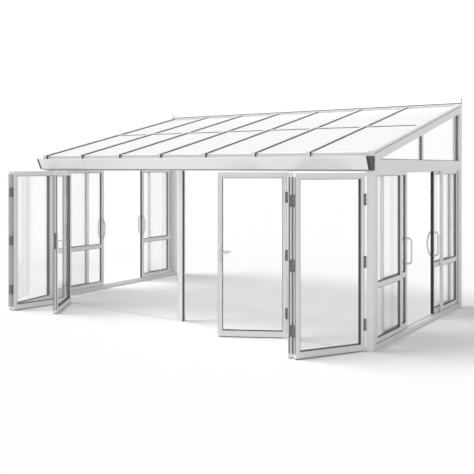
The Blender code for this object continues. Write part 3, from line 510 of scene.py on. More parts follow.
channels = []
seals = []
edges = sorted((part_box(name)[0][0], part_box(name)[1][0]) for name in bars)
for (_, left), (right, _) in zip(edges, edges[1:]):
    left += ROOF_GASKET_WIDTH
    right -= ROOF_GASKET_WIDTH
    channels.append(bar("channel", (left, CHANNEL_FRONT, -CAP_DEPTH - CHANNEL_UNDER),
                        (right, CHANNEL_BACK, -CAP_DEPTH + CHANNEL_OVER), 0.0012, ON_ROOF))
    seals.append(bar("seal", (left, CHANNEL_BACK, -CAP_DEPTH - SET_IN),
                     (right, CHANNEL_BACK + EDGE_LINE_WIDTH, -CAP_DEPTH + EDGE_LINE_OVER),
                     0.001, ON_ROOF, segments=1))
    for low in (MIDDLE - CROSSBAR_HALF - CROSS_SEAL_WIDTH, MIDDLE + CROSSBAR_HALF):
        seals.append(bar("seal", (left, low, -CAP_DEPTH - SET_IN),
                         (right, low + CROSS_SEAL_WIDTH, -CROSS_SEAL_TOP), 0.001, ON_ROOF,
                         segments=1))
fit(join("roof_edge_channels", channels), bright_sheet)
fit(join("crossbar_seals", seals), rubber)


# The wall plate carries a folded flashing against the house wall: a bright sheet with a hem along
# its top edge, under a pressing rail with a row of pan-head screws. A rubber seal runs along its
# foot, and a dark plate lined with the same sheet closes each end.

REACH = 2.905                   # half the length of the flashing
RIDGE = EAVES_TOP + ROOF_RISE   # top of the wall plate
FLASHING_TOP = 3.225
FLASHING_FACE = WALL - 0.004
FLASHING_BACK = FLASHING_FACE + 0.001
HEM = 0.009
HEM_DEPTH = 0.004
RAIL_LINE_UP = RIDGE + 0.052    # middle of the pressing rail
RAIL_HALF = 0.012
RAIL_DEPTH = 0.003
RAIL_REACH = REACH - 0.01
SHEET_PROUD = 0.0006
SHEET_LOW = RIDGE + 0.004
SHEET_HIGH = FLASHING_TOP - 0.001
FLASHING_SCREWS = 15
FLASHING_MARGIN = 0.08
FLASHING_SCREW_OUT = 0.004
FOOT_SEAL = 0.010               # its depth, and its height above the wall plate
FOOT_SEAL_SUNK = 0.003
FOOT_SEAL_REACH = REACH - 0.005
END_LAYER = (0.0015, 0.0)       # from the flashing's end, inner and outer face
LINING_LAYER = (0.003, 0.0014)
END_DEPTH = 0.020
END_LOW = RIDGE + 0.002

hem = bar("hem", (-REACH, FLASHING_FACE - HEM_DEPTH, FLASHING_TOP - HEM),
          (REACH, FLASHING_FACE, FLASHING_TOP), 0.0015)
rail = bar("rail", (-RAIL_REACH, FLASHING_FACE - RAIL_DEPTH, RAIL_LINE_UP - RAIL_HALF),
           (RAIL_REACH, FLASHING_FACE, RAIL_LINE_UP + RAIL_HALF), 0.001)
sheet = bar("sheet", (-REACH, FLASHING_FACE - SHEET_PROUD, SHEET_LOW),
            (REACH, FLASHING_BACK, SHEET_HIGH), 0.0002, segments=1)
fit(join("flashing_hem_and_rail", [hem, rail, sheet]), bright_sheet)
spots = [Matrix.Translation((across, FLASHING_FACE - FLASHING_SCREW_OUT, RAIL_LINE_UP))
         for across in spread(FLASHING_MARGIN - REACH, REACH - FLASHING_MARGIN, FLASHING_SCREWS)]
screw_row("flashing_screws", (0, 0, 0), (0, -1, 0), spots)
foot_seal = bar("flashing_base_seal",
                (-FOOT_SEAL_REACH, FLASHING_FACE - FOOT_SEAL, RIDGE - FOOT_SEAL_SUNK),
                (FOOT_SEAL_REACH, FLASHING_FACE, RIDGE + FOOT_SEAL), 0.003)
fit(foot_seal, rubber)
ends = []
linings = []
for way in (-1, 1):
    for pieces, (inner, outer) in ((ends, END_LAYER), (linings, LINING_LAYER)):
        low, high = span(way * REACH, way, inner, -outer)
        pieces.append(bar("end", (low, FLASHING_FACE - END_DEPTH, END_LOW),
                          (high, FLASHING_BACK, FLASHING_TOP), 0.0004))
fit(join("flashing_ends", ends), dark_plastic)
fit(join("flashing_end_linings", linings), bright_sheet)


# The gutter is an extruded trough that clips to the eaves beam, with a dark moulded cap on each
# end. A dark grey strip along the gap between it and the head track is painted shade for the
# shadow line under the gutter.

SHADOW_STRIP_LOW = (-REACH + 0.002, -0.0955, 2.1128)
SHADOW_STRIP_HIGH = (REACH - 0.002, -0.0882, 2.1226)

# A dark grey strip under the gutter: painted shadow.
gutter_shadow_strip = bar("gutter_lip", SHADOW_STRIP_LOW, SHADOW_STRIP_HIGH, 0.001)
fit(gutter_shadow_strip, grey_hinge)


# The middle post: a T-shaped bar, its wide flange in line with the folding doors and its web
# behind. Both sides of the flange carry a broad rubber seal that the doors close on.

FLANGE_HALF = 0.0385
FLANGE_FRONT = -0.085
FLANGE_BACK = -0.042
WEB_HALF = 0.012
WEB_BACK = 0.012
POST_TOP = 2.1047
POST_ROUND = 0.003
CLOSE_TO = 0.001
SEAL_SUNK = 0.0005
SEAL_PROUD = 0.004
SEAL_FRONT = FLANGE_FRONT + 0.003
SEAL_BACK = FLANGE_BACK - 0.001
SEAL_LOW = 0.004
SEAL_HIGH = POST_TOP - 0.002

post = between("middle_post_profile", (-FLANGE_HALF, FLANGE_FRONT, 0.0),
               (FLANGE_HALF, FLANGE_BACK, POST_TOP))
for cut in (-WEB_HALF, WEB_HALF):
    bpy.ops.mesh.select_all(action="SELECT")
    bpy.ops.mesh.bisect(plane_co=(cut, 0, 0), plane_no=(1, 0, 0))
choose(post, "FACE", lambda centre, normal: normal.y > PARALLEL and abs(centre.x) < WEB_HALF)
bpy.ops.mesh.extrude_region_move(TRANSFORM_OT_translate={"value": (0, WEB_BACK - FLANGE_BACK, 0)})
choose(post, "EDGE", lambda centre, along: abs(along.z) > PARALLEL
       and abs(centre.y - FLANGE_FRONT) < CLOSE_TO and abs(centre.x) > WEB_HALF + CLOSE_TO)
bpy.ops.mesh.bevel(offset=POST_ROUND, segments=3, affect="EDGES")
fit(leave(post), white_coat)
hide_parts("middle_post")
seals = []
for way in (-1, 1):
    low, high = span(way * FLANGE_HALF, way, SEAL_SUNK, SEAL_PROUD)
    seals.append(bar("seal", (low, SEAL_FRONT, SEAL_LOW), (high, SEAL_BACK, SEAL_HIGH), 0.0015))
fit(join("middle_post_seals", seals), rubber)


# The gable ends: one pane on each side of the middle bar, held by a white bead and a black
# gasket all round, inside and out. A folded plate fills the thin end over the corner post.

SIDE_BEAM_TOP = 2.243
RAFTER_DEPTH = 0.140
GABLE_OUT = 2.865               # outer face of the glass
GABLE_IN = 2.853
GABLE_START = 0.200
GABLE_TIP = GABLE_START - 0.05  # where the strips end, inside the filler
GABLE_END = 3.09
MULLION_HALF = 0.025
GABLE_BEAD = 0.007
GABLE_GASKET = 0.012
GABLE_BEAD_DEPTH = 0.0115
OFF_GLASS = 0.0002              # from the glass to a bead or gasket
GASKET_BACK = 0.0015            # from a bead's face back to its gasket's
FILLER_FRONT = 0.06
FILLER_BACK = GABLE_START + 0.006
FILLER_LOW = SIDE_BEAM_TOP - 0.06
FILLER_PROUD = 0.004            # of the faces of the glass


def under_rafter(y):
    """Height of the end bars' underside above a point y."""
    return EAVES_TOP + (y - FRONT) * SLOPE - RAFTER_DEPTH


def pane_edging(way, low, high, near, far, width):
    """Strips round a gable pane, from near to far in x. The front pane ends in a point."""
    near, far = sorted((way * near, way * far))
    bottom = SIDE_BEAM_TOP
    strips = [((near, low, bottom), (far, high, bottom + width), None),
              ((near, low, -width), (far, high, 0.0), sloped(under_rafter(0.0))),
              ((near, high - width, bottom), (far, high, under_rafter(high)), None)]
    if low > MIDDLE:
        strips.append(((near, low, bottom), (far, low + width, under_rafter(low)), None))
    return [bar("edging", start, end, 0.001, move) for start, end, move in strips]


for side, way in (("left", -1), ("right", 1)):
    gaskets = []
    beads = []
    for low, high in ((GABLE_TIP, MIDDLE - MULLION_HALF), (MIDDLE + MULLION_HALF, GABLE_END)):
        for glass, outward in ((GABLE_OUT, 1), (GABLE_IN, -1)):
            face = glass + outward * OFF_GLASS
            for pieces, depth, width in ((gaskets, GABLE_BEAD_DEPTH - GASKET_BACK, GABLE_GASKET),
                                         (beads, GABLE_BEAD_DEPTH, GABLE_BEAD)):
                pieces += pane_edging(way, low, high, face, face + outward * depth, width)
    fit(join("gable_gaskets_" + side, gaskets), rubber)
    fit(join("gable_beads_" + side, beads), white_coat)
    near, far = sorted((way * (GABLE_IN - FILLER_PROUD), way * (GABLE_OUT + FILLER_PROUD)))
    filler = between("gable_filler_" + side, (near, FILLER_FRONT, FILLER_LOW),
                     (far, FILLER_BACK, SIDE_BEAM_TOP))
    choose(filler, "FACE", lambda centre, normal: normal.z > PARALLEL)
    bpy.ops.transform.translate(value=(0, 0, under_rafter(GABLE_START) - SIDE_BEAM_TOP))
    choose(filler, "EDGE", lambda centre, along: abs(along.x) > PARALLEL
           and centre.y < GABLE_START and centre.z > SIDE_BEAM_TOP)
    drop = under_rafter(GABLE_START) - under_rafter(FILLER_FRONT)
    bpy.ops.transform.translate(value=(0, 0, -drop))
    fit(leave(filler), white_coat)


# The side walls: glazed leaves in front and at the back of each doorway, one fixed and one sliding
# of each. Every window has a snap-in bead and a black gasket on both faces.

HALF = 2.875                    # half the width of the building over its posts
LEAF_HALF = 0.018
FIXED_X = HALF - 0.006 - LEAF_HALF
SLIDING_X = FIXED_X - 0.043
STILE = 0.050
GLASS_HALF = 0.006
SCREEN_END = {"front": 0.0503, "back": 3.0897}
FIXED_WIDTH = {"front": 0.808, "back": 0.705}
DOORWAY_EDGE = {"front": SCREEN_END["front"] + FIXED_WIDTH["front"],
                "back": SCREEN_END["back"] - FIXED_WIDTH["back"]}
OVERLAPS = 0.090                # of both sliding leaves behind their fixed ones, when shut
LEAF_WIDTH = (DOORWAY_EDGE["back"] - DOORWAY_EDGE["front"] + OVERLAPS) / 2
LEADING = {("left", "front"): 1.166, ("left", "back"): 2.150,
           ("right", "front"): 1.144, ("right", "back"): 2.120}
WINDOWS = ((0.124, 0.734), (0.784, 2.059))
SIDE_BEAD = 0.009
SIDE_GASKET = 0.014             # from the window's edge, the bead covers a part of it
SIDE_BEAD_FACE = 0.0155         # from the middle of the leaf
BEAD_BASE = 0.004               # from the glass


def ring(name, x_low, x_high, z_low, z_high, width, y_low, y_high, round_off):
    """A flat frame round a window: a block inset on both faces, bridged through and rounded."""
    piece = between(name, (x_low, y_low, z_low), (x_high, y_high, z_high))
    choose(piece, "FACE", lambda centre, normal: abs(normal.y) > PARALLEL)
    bpy.ops.mesh.inset(thickness=width)
    bpy.ops.mesh.bridge_edge_loops()
    choose(piece, "EDGE", lambda centre, along: max(abs(part) for part in along) > EXACT)
    bpy.ops.mesh.bevel(offset=round_off, segments=1, affect="EDGES")
    return leave(piece)


def window_rings(x_low, x_high, windows, centre, face, bead, gasket):
    """Beads and gaskets of all windows of a leaf, on both faces, in the leaf's own place."""
    beads = []
    gaskets = []
    for z_low, z_high in windows:
        edges = (x_low, x_high, z_low, z_high)
        for way in (-1, 1):
            near, far = sorted((centre + way * (GLASS_HALF + OFF_GLASS),
                                centre + way * (face - GASKET_BACK)))
            gaskets.append(ring("gasket", *edges, gasket, near, far, 0.001))
            near, far = sorted((centre + way * (GLASS_HALF + BEAD_BASE), centre + way * face))
            beads.append(ring("bead", *edges, bead, near, far, 0.002))
    return join("beads", beads), join("gaskets", gaskets)


def leaf_place(x, y, heading):
    """Place of a leaf that stands on the floor and runs from its first edge at a heading."""
    return Matrix.Translation((x, y, 0.0)) @ Matrix.Rotation(heading, 4, "Z")


def side_place(side, place, x, edge):
    """Place of a side leaf whose own x runs from its edge at the doorway away from it."""
    heading = math.radians(-90 if place == "front" else 90)
    return leaf_place(x if side == "right" else -x, edge, heading)


LEAVES = [(side, place) for side in ("left", "right") for place in ("front", "back")]
FIXED_AT = {leaf: side_place(*leaf, FIXED_X, DOORWAY_EDGE[leaf[1]]) for leaf in LEAVES}
SLIDING_AT = {leaf: side_place(*leaf, SLIDING_X, LEADING[leaf]) for leaf in LEAVES}
for kind, width, places, spots in (("fixed", FIXED_WIDTH["front"], ("front",), FIXED_AT),
                                   ("fixed", FIXED_WIDTH["back"], ("back",), FIXED_AT),
                                   ("sliding", LEAF_WIDTH, ("front", "back"), SLIDING_AT)):
    beads, gaskets = window_rings(STILE, width - STILE, WINDOWS, 0.0,
                                  SIDE_BEAD_FACE, SIDE_BEAD, SIDE_GASKET)
    for leaf in LEAVES:
        if leaf[1] in places:
            label = "_".join(leaf)
            body = "slider_" + label if kind == "sliding" else "frame"
            for piece, what, finish, slot in ((beads, "_beads_", white_coat, "white_frame"),
                                              (gaskets, "_gaskets_", rubber, "dark_cap")):
                fit(copy_of(piece, kind + what + label, spots[leaf]), finish, body)
    bpy.data.objects.remove(beads)
    bpy.data.objects.remove(gaskets)


# Edges of the side leaves: a rubber bumper down the leading edge of each sliding leaf, which
# wraps round on to the outer face of the back ones, and a hooked strip with a brush where a
# sliding leaf and its fixed leaf overlap.

SLIDE_BOTTOM = 0.061
SLIDE_TOP = 2.094
BUMPER = 0.0027
BUMPER_BASE = 0.0004            # inside the leaf
BUMPER_EDGE = LEAF_HALF - 0.001
BUMPER_LOW = SLIDE_BOTTOM + 0.004
BUMPER_HIGH = SLIDE_TOP - 0.004
BUMPER_RIM = 0.005
BUMPER_HOLLOW = 0.0012
HOOK_WIDTH = 0.014
HOOK_DEPTH = 0.003
HOOK_GAP = 0.0005               # from the leaf's edge
HOOK_LOW = SLIDE_BOTTOM + 0.002
HOOK_HIGH = SLIDE_TOP - 0.002
FIXED_HOOK_LOW = 0.075
BRUSH_WIDTH = 0.007
BRUSH_DEPTH = 0.004
WRAP_WIDTH = 0.030
WRAP_DEPTH = 0.0022
STRIP_SUNK = 0.0003
STRIP_ROUND = 0.0008


def out_way(side, place):
    """1 or -1, as a side leaf's own y points out of the building or into it."""
    return 1 if (side == "right") == (place == "front") else -1


bumper = between("bumper", (-BUMPER, -BUMPER_EDGE, BUMPER_LOW),
                 (BUMPER_BASE, BUMPER_EDGE, BUMPER_HIGH))
choose(bumper, "FACE", lambda centre, normal: normal.x < -PARALLEL)
bpy.ops.mesh.inset(thickness=BUMPER_RIM)
bpy.ops.transform.translate(value=(BUMPER_HOLLOW, 0, 0))
leave(bumper)
for side, place in LEAVES:
    label = f"{side}_{place}"
    out = out_way(side, place)
    spot = SLIDING_AT[side, place]
    fit(copy_of(bumper, "sliding_bumper_" + label, spot), black_rubber,
        "slider_" + label)
    if place == "back":
        low, high = span(out * LEAF_HALF, out, STRIP_SUNK, WRAP_DEPTH)
        wrap = bar("sliding_bumper_wrap_" + label, (-BUMPER, low, BUMPER_LOW),
                   (WRAP_WIDTH, high, BUMPER_HIGH), STRIP_ROUND, spot)
        fit(wrap, black_rubber, "slider_" + label)
    low, high = span(out * LEAF_HALF, out, STRIP_SUNK, HOOK_DEPTH)
    hook = bar("sliding_hook_" + label, (LEAF_WIDTH - HOOK_WIDTH, low, HOOK_LOW),
               (LEAF_WIDTH - HOOK_GAP, high, HOOK_HIGH), STRIP_ROUND, spot)
    fit(hook, white_coat, "slider_" + label)
    low, high = span(out * LEAF_HALF, out, STRIP_SUNK, BRUSH_DEPTH)
    brush = bar("sliding_brush_" + label, (LEAF_WIDTH - HOOK_WIDTH - BRUSH_WIDTH, low, HOOK_LOW),
                (LEAF_WIDTH - HOOK_WIDTH, high, HOOK_HIGH), STRIP_ROUND, spot)
    fit(brush, rubber, "slider_" + label)
    low, high = span(-out * LEAF_HALF, -out, STRIP_SUNK, HOOK_DEPTH)
    hook = bar("fixed_hook_" + label, (HOOK_GAP, low, FIXED_HOOK_LOW),
               (HOOK_WIDTH, high, SLIDE_TOP), STRIP_ROUND, FIXED_AT[side, place])
    fit(hook, white_coat)
bpy.data.objects.remove(bumper)


# The pull handles: a D-shaped bar outside and a bow inside, each foot on a round flange that hides
# the fixing through the stile.

PULL_LOW = 0.896
PULL_HIGH = 1.228
PULL_SETBACK = 0.025
PULL_RADIUS = 0.0122
PULL_SIDES = 4                  # extra points in each half of the bar's outline
PULL_OUT = LEAF_HALF + 0.0678   # middle of the D-shaped bar, from the middle of the leaf
PULL_CORNER = 0.045
CORNER_STEPS = 8
BOW_FOOT = LEAF_HALF + 0.012
BOW_DEEP = 0.046                # from the bow's feet out to its middle
BOW_STEPS = 16
BOW_FULL = 0.8                  # less than 1 makes the bow fuller than a half wave
FLANGE_RADIUS = 0.0175
FLANGE_THICKNESS = 0.005
SAME_POINT = 0.00001


def bent_tube(name, path, radius):
    """A closed round bar: a curve with a thick outline, turned into a mesh."""
    work = bpy.data.curves.new(name, "CURVE")
    work.dimensions = "3D"
    work.bevel_depth = radius
    work.bevel_resolution = PULL_SIDES
    line = work.splines.new("POLY")
    line.points.add(len(path) - 1)
    for point, spot in zip(line.points, path):
        point.co = (*spot, 1.0)
    line.use_cyclic_u = True
    bpy.ops.object.select_all(action="DESELECT")
    piece = bpy.data.objects.new(name, work)
    bpy.context.scene.collection.objects.link(piece)
    bpy.context.view_layer.objects.active = piece
    piece.select_set(True)
    bpy.ops.object.convert(target="MESH")
    piece = bpy.context.object
    bpy.ops.object.mode_set(mode="EDIT")
    bpy.ops.mesh.select_all(action="SELECT")
    bpy.ops.mesh.remove_doubles(threshold=SAME_POINT)
    bpy.ops.mesh.normals_make_consistent(inside=False)
    return leave(piece)


def pull_path(out):
    """Round the handle: up the D-shaped bar on one face and down the bow on the other."""
    corner = [(PULL_CORNER * (1 - math.sin(turn)), PULL_CORNER * (1 - math.cos(turn)))
              for turn in spread(0.0, math.radians(90), CORNER_STEPS + 1)]
    path = [(PULL_SETBACK, 0.0, PULL_LOW)]
    path += [(PULL_SETBACK, out * (PULL_OUT - back), PULL_LOW + up) for back, up in corner]
    path += [(PULL_SETBACK, out * (PULL_OUT - back), PULL_HIGH - down) for down, back in corner]
    path.append((PULL_SETBACK, 0.0, PULL_HIGH))
    for along in spread(0.0, 1.0, BOW_STEPS + 1):
        depth = BOW_FOOT + BOW_DEEP * math.sin(math.pi * along) ** BOW_FULL
        path.append((PULL_SETBACK, -out * depth, PULL_HIGH - (PULL_HIGH - PULL_LOW) * along))
    return path


flanges = []
for height in (PULL_LOW, PULL_HIGH):
    for way in (-1, 1):
        centre = (PULL_SETBACK, way * (LEAF_HALF + FLANGE_THICKNESS / 2 - SET_IN), height)
        flanges.append(disc("flange", centre, (0, way, 0), FLANGE_RADIUS, FLANGE_THICKNESS, 0.0015))
flanges = join("flanges", flanges)
for side, place in LEAVES:
    label = f"{side}_{place}"
    spot = SLIDING_AT[side, place]
    fit(copy_of(flanges, "pull_flanges_" + label, spot), brushed_metal,
        "slider_" + label)
    pull = bent_tube("pull_bar_" + label, pull_path(out_way(side, place)), PULL_RADIUS)
    pull.data.transform(spot)
    fit(pull, brushed_metal, "slider_" + label)
    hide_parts("pull_handle_" + label)
bpy.data.objects.remove(flanges)


# Rubber strips seal the side walls against their posts, and a thin one runs along the joint
# between each fixed leaf's bottom rail and the sill.

POST_SEAL_WIDTH = 0.0067
POST_SEAL_BACK = 0.009          # behind the outer faces of the posts
POST_SEAL_FRONT = 0.0035
POST_SEAL_LOW = 0.058
POST_SEAL_HIGH = 2.103
SILL_LINE_LOW = 0.072
SILL_LINE_HIGH = 0.081
SILL_LINE_SUNK = 0.0004
SILL_LINE_PROUD = 0.001
SILL_LINE_SHORT = 0.002         # at each end

for side, way in (("left", -1), ("right", 1)):
    seals = []
    for place, along in (("front", 1), ("back", -1)):
        low, high = span(SCREEN_END[place], along, 0.0, POST_SEAL_WIDTH)
        near, far = span(way * HALF, way, POST_SEAL_BACK, -POST_SEAL_FRONT)
        seals.append(bar("seal", (near, low, POST_SEAL_LOW), (far, high, POST_SEAL_HIGH), 0.001))
    for place in ("front", "back"):
        low, high = sorted((SCREEN_END[place], DOORWAY_EDGE[place]))
        near, far = span(way * (FIXED_X + LEAF_HALF), way, SILL_LINE_SUNK, SILL_LINE_PROUD)
        seals.append(bar("seal", (near, low + SILL_LINE_SHORT, SILL_LINE_LOW),
                         (far, high - SILL_LINE_SHORT, SILL_LINE_HIGH), 0.0004, segments=1))
    fit(join("side_wall_seals_" + side, seals), rubber)


# The folding doors: two folding leaves and a door in each set, of thermally broken bars with a
# bead and a gasket on both faces, rubber seals down both edges and a sweep under the bottom rail.

POST_INNER = 2.795
MIDDLE_HALF = 0.0425
PIVOT_Y = FRONT - 0.006
CLEAR = 0.012 + 0.0003          # from a pivot line to a leaf's edge: the hinge's barrel and a gap
DOOR_LESS = 0.036
FOLD_PITCH = (POST_INNER - MIDDLE_HALF - CLEAR + DOOR_LESS) / 3
DOOR_PITCH = FOLD_PITCH - DOOR_LESS
FOLD_START = 0.004
FOLD_END = FOLD_PITCH - 0.002
DOOR_END = DOOR_PITCH - 0.004
THICK = 0.058
FOLD_ANGLE = {"right": 59.0, "left": 79.9}
DOOR_ANGLE = {"right": 29.6, "left": 54.8}
FOLD_LOW = 0.010
FOLD_HIGH = 2.087
FOLD_STILE = 0.048
FOLD_WINDOW = ((FOLD_LOW + 0.066, FOLD_HIGH - 0.062),)
FOLD_BEAD = 0.007
FOLD_GASKET = 0.012
FOLD_BEAD_FACE = THICK / 2 - 0.004
EDGE_SEAL = 0.003
EDGE_SEAL_SUNK = 0.0005
EDGE_SEAL_HALF = 0.006
EDGE_SEAL_INSET = 0.012         # of a seal's centre from the leaf's face
EDGE_SEAL_SHORT = 0.045         # at its foot and its top
SWEEP_HALF = 0.020
SWEEP_SHORT = 0.002
SWEEP_LOW = FOLD_LOW - 0.002
SWEEP_HIGH = FOLD_LOW + 0.0015


def door_places(wing):
    """Place, first and last x and side of each leaf of one set, from the corner post inwards."""
    sign = 1 if wing == "right" else -1
    side = -sign
    shut = math.radians(180) if sign > 0 else 0.0
    fold = math.radians(FOLD_ANGLE[wing])
    swing = math.radians(DOOR_ANGLE[wing])
    outer = leaf_place(sign * (POST_INNER - CLEAR), PIVOT_Y, shut + sign * fold)
    point = outer @ Vector((FOLD_PITCH, side * THICK, 0.0))
    inner = leaf_place(point.x, point.y, shut - sign * fold)
    point = inner @ Vector((FOLD_PITCH, -side * THICK, 0.0))
    door = leaf_place(point.x, point.y, shut + sign * swing)
    return {"folding_leaf_outer_": (outer, FOLD_START, FOLD_END, side),
            "folding_leaf_inner_": (inner, CLEAR, FOLD_END, -side),
            "door_leaf_": (door, CLEAR, DOOR_END, side)}


DOORS = {wing: door_places(wing) for wing in ("left", "right")}
for wing, leaves in DOORS.items():
    for kind, (spot, start, end, side) in leaves.items():
        name = kind + wing
        middle = side * THICK / 2
        beads, gaskets = window_rings(start + FOLD_STILE, end - FOLD_STILE, FOLD_WINDOW, middle,
                                      FOLD_BEAD_FACE, FOLD_BEAD, FOLD_GASKET)
        for piece, what, finish, slot in ((beads, "_beads", white_coat, "white_frame"),
                                          (gaskets, "_gaskets", rubber, "dark_cap")):
            piece.data.transform(spot)
            piece.name = name + what
            fit(piece, finish)
        seals = []
        for edge, way in ((start, -1), (end, 1)):
            low, high = span(edge, way, EDGE_SEAL_SUNK, EDGE_SEAL)
            for inset in (EDGE_SEAL_INSET, THICK - EDGE_SEAL_INSET):
                near, far = side * inset - EDGE_SEAL_HALF, side * inset + EDGE_SEAL_HALF
                seals.append(bar("seal", (low, near, FOLD_LOW + EDGE_SEAL_SHORT),
                                 (high, far, FOLD_HIGH - EDGE_SEAL_SHORT), 0.0012, spot))
        seals.append(bar("seal", (start + SWEEP_SHORT, middle - SWEEP_HALF, SWEEP_LOW),
                         (end - SWEEP_SHORT, middle + SWEEP_HALF, SWEEP_HIGH), 0.001, spot))
        fit(join(name + "_seals", seals), rubber)


# The hinges: three on each fold line, a thick barrel of three knuckles on grey painted plates that
# wrap round the edges of the leaves, with four screws to a plate.

HINGE_HEIGHTS = (0.311, 1.045, 1.775)
HINGE_HALF = 0.068
HINGE_RADIUS = 0.0124
DOME = 0.002                    # past each end of the plates
DOME_ROUND = 0.003
GROOVES = (-0.0245, -0.0240, -0.0215, -0.0210, 0.0210, 0.0215, 0.0240, 0.0245)
GROOVE_FACES = (0.0216, 0.0239) # the faces between the middle cuts lie in here
GROOVE_WAIST = 0.86
PLATE_WIDTH = 0.022
PLATE_THICKNESS = 0.003
PLATE_SUNK = 0.0005
PLATE_ROUND = 0.001
EDGE_PLATE = (0.006, 0.052)     # from the leaf's face, across its edge
EDGE_PLATE_THICKNESS = 0.0033   # a little more than the edge seals stand out
PLATE_SCREWS = (-0.050, -0.018, 0.018, 0.050)
PLATE_SCREW_INSET = 0.006
PLATE_SCREW_RADIUS = 0.0036
PLATE_SCREW_HEAD = 0.0016


def barrel(name, x, y):
    """A hinge barrel: a round bar cut in three by two grooves, with domed ends."""
    piece = rod(name, (x, y, 0), (0, 0, 1), HINGE_RADIUS, 2 * (HINGE_HALF + DOME), sides=24)
    for height in GROOVES:
        bpy.ops.mesh.select_all(action="SELECT")
        bpy.ops.mesh.bisect(plane_co=(0, 0, height), plane_no=(0, 0, 1))
    choose(piece, "FACE", lambda centre, normal: abs(normal.z) < ACROSS
           and GROOVE_FACES[0] < abs(centre.z) < GROOVE_FACES[1])
    bpy.ops.transform.resize(value=(GROOVE_WAIST, GROOVE_WAIST, 1.0), center_override=(x, y, 0.0))
    choose(piece, "EDGE", lambda centre, along: abs(along.z) < ACROSS
           and abs(centre.z) > HINGE_HALF)
    bpy.ops.mesh.bevel(offset=DOME_ROUND, segments=3, affect="EDGES")
    return leave(piece)


def hinge_plate(start, way, face, outward):
    """Plates on a leaf's face beside the barrel and round on its edge, with four screws."""
    low, high = sorted((start, start + way * PLATE_WIDTH))
    near, far = span(face, outward, PLATE_SUNK, PLATE_THICKNESS)
    pieces = [bar("plate", (low, near, -HINGE_HALF), (high, far, HINGE_HALF), PLATE_ROUND)]
    low, high = span(start, -way, PLATE_SUNK, EDGE_PLATE_THICKNESS)
    near, far = sorted(face - outward * across for across in EDGE_PLATE)
    pieces.append(bar("plate", (low, near, -HINGE_HALF), (high, far, HINGE_HALF), PLATE_ROUND))
    for height in PLATE_SCREWS:
        centre = (start + way * (PLATE_WIDTH - PLATE_SCREW_INSET),
                  face + outward * PLATE_THICKNESS, height)
        pieces.append(disc("screw", centre, (0, outward, 0), PLATE_SCREW_RADIUS, PLATE_SCREW_HEAD,
                           0.0005, sides=10))
    return pieces


for wing, leaves in DOORS.items():
    hinges = []
    outer, start, far, side = leaves["folding_leaf_outer_"]
    inner, clear = leaves["folding_leaf_inner_"][:2]
    door = leaves["door_leaf_"][0]
    face = side * THICK
    fold_lines = (
        (outer, 0.0, 0.0, ((outer, start, 1, 0.0, -side),)),
        (outer, FOLD_PITCH, face, ((outer, far, -1, face, side), (inner, clear, 1, 0.0, side))),
        (inner, FOLD_PITCH, -face, ((inner, far, -1, -face, -side), (door, clear, 1, 0.0, -side))),
    )
    for spot, x, y, plates in fold_lines:
        parts = [barrel("barrel", x, y)]
        parts[0].data.transform(spot)
        for leaf, begin, way, plate_face, outward in plates:
            for piece in hinge_plate(begin, way, plate_face, outward):
                piece.data.transform(leaf)
                parts.append(piece)
        one = join("hinge", parts)
        for height in HINGE_HEIGHTS:
            hinges.append(copy_of(one, "hinge", Matrix.Translation((0, 0, height))))
        bpy.data.objects.remove(one)
    fit(join("door_hinges_" + wing, hinges), grey_hinge)


# The door fittings: a long plate with round ends on both faces, a rose under the lever, a lock
# cylinder with its keyway below it, and a lock face let into the door's closing edge.

LEVER_HEIGHT = 1.070
FITTING_HALF_WIDTH = 0.017
FITTING_HALF_HEIGHT = 0.113
FITTING_PROUD = 0.0072          # covers the solid plate, which is 6 mm thick
FITTING_CORNER = 0.0153
FITTING_ROUND = 0.0012
ROSE_RADIUS = 0.0155
ROSE_THICKNESS = 0.007
ROSE_OUT = 0.003                # middle of the rose, from the plate's face
CYLINDER_HEIGHT = LEVER_HEIGHT - 0.072
CYLINDER_RADIUS = 0.0085
CYLINDER_THICKNESS = 0.006
CYLINDER_OUT = 0.002
KEYWAY_HALF_WIDTH = 0.001
KEYWAY_HALF_HEIGHT = 0.004
KEYWAY_DEPTH = (0.0045, 0.0056) # from the plate's face
LOCK_SUNK = 0.0005
LOCK_PROUD = 0.0022
LOCK_HALF_WIDTH = 0.012
LOCK_HALF_HEIGHT = 0.120
LOCK_CORNER = 0.011

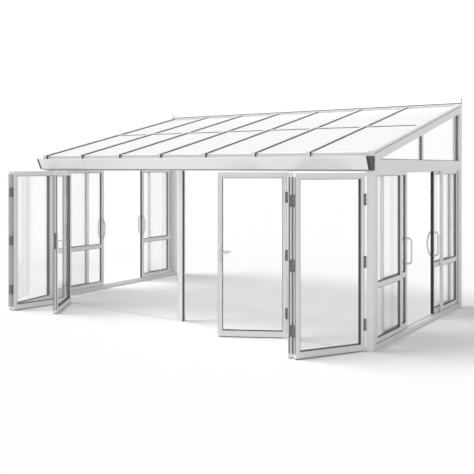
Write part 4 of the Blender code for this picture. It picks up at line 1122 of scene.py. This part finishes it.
for wing, leaves in DOORS.items():
    spot, start, end, side = leaves["door_leaf_"]
    x = end - FOLD_STILE / 2
    middle = side * THICK / 2
    parts = []
    keyways = []
    for way in (-1, 1):
        face = middle + way * THICK / 2
        near, far = span(face, way, -SET_IN, FITTING_PROUD)
        plate = between("fitting",
                        (x - FITTING_HALF_WIDTH, near, LEVER_HEIGHT - FITTING_HALF_HEIGHT),
                        (x + FITTING_HALF_WIDTH, far, LEVER_HEIGHT + FITTING_HALF_HEIGHT))
        choose(plate, "EDGE", lambda centre, along: abs(along.y) > PARALLEL)
        bpy.ops.mesh.bevel(offset=FITTING_CORNER, segments=6, affect="EDGES")
        choose(plate, "EDGE", lambda centre, along: abs(along.y) < ACROSS)
        bpy.ops.mesh.bevel(offset=FITTING_ROUND, segments=2, affect="EDGES")
        parts.append(leave(plate))
        front = face + way * FITTING_PROUD
        parts.append(disc("rose", (x, front + way * ROSE_OUT, LEVER_HEIGHT), (0, way, 0),
                          ROSE_RADIUS, ROSE_THICKNESS, 0.0015))
        parts.append(disc("cylinder", (x, front + way * CYLINDER_OUT, CYLINDER_HEIGHT), (0, way, 0),
                          CYLINDER_RADIUS, CYLINDER_THICKNESS, 0.0008))
        near, far = sorted(front + way * depth for depth in KEYWAY_DEPTH)
        keyways.append(bar("keyway",
                           (x - KEYWAY_HALF_WIDTH, near, CYLINDER_HEIGHT - KEYWAY_HALF_HEIGHT),
                           (x + KEYWAY_HALF_WIDTH, far, CYLINDER_HEIGHT + KEYWAY_HALF_HEIGHT),
                           0.0003, segments=1))
    lock = between("door_lock_face_" + wing,
                   (end - LOCK_SUNK, middle - LOCK_HALF_WIDTH,
                    LEVER_HEIGHT - LOCK_HALF_HEIGHT),
                   (end + LOCK_PROUD, middle + LOCK_HALF_WIDTH,
                    LEVER_HEIGHT + LOCK_HALF_HEIGHT))
    choose(lock, "EDGE", lambda centre, along: abs(along.x) > PARALLEL)
    bpy.ops.mesh.bevel(offset=LOCK_CORNER, segments=4, affect="EDGES")
    fit(leave(lock, spot), grey_hinge)
    plates = join("door_fittings_" + wing, parts)
    plates.data.transform(spot)
    fit(plates, brushed_metal)
    keyways = join("door_keyways_" + wing, keyways)
    keyways.data.transform(spot)
    fit(keyways, rubber)
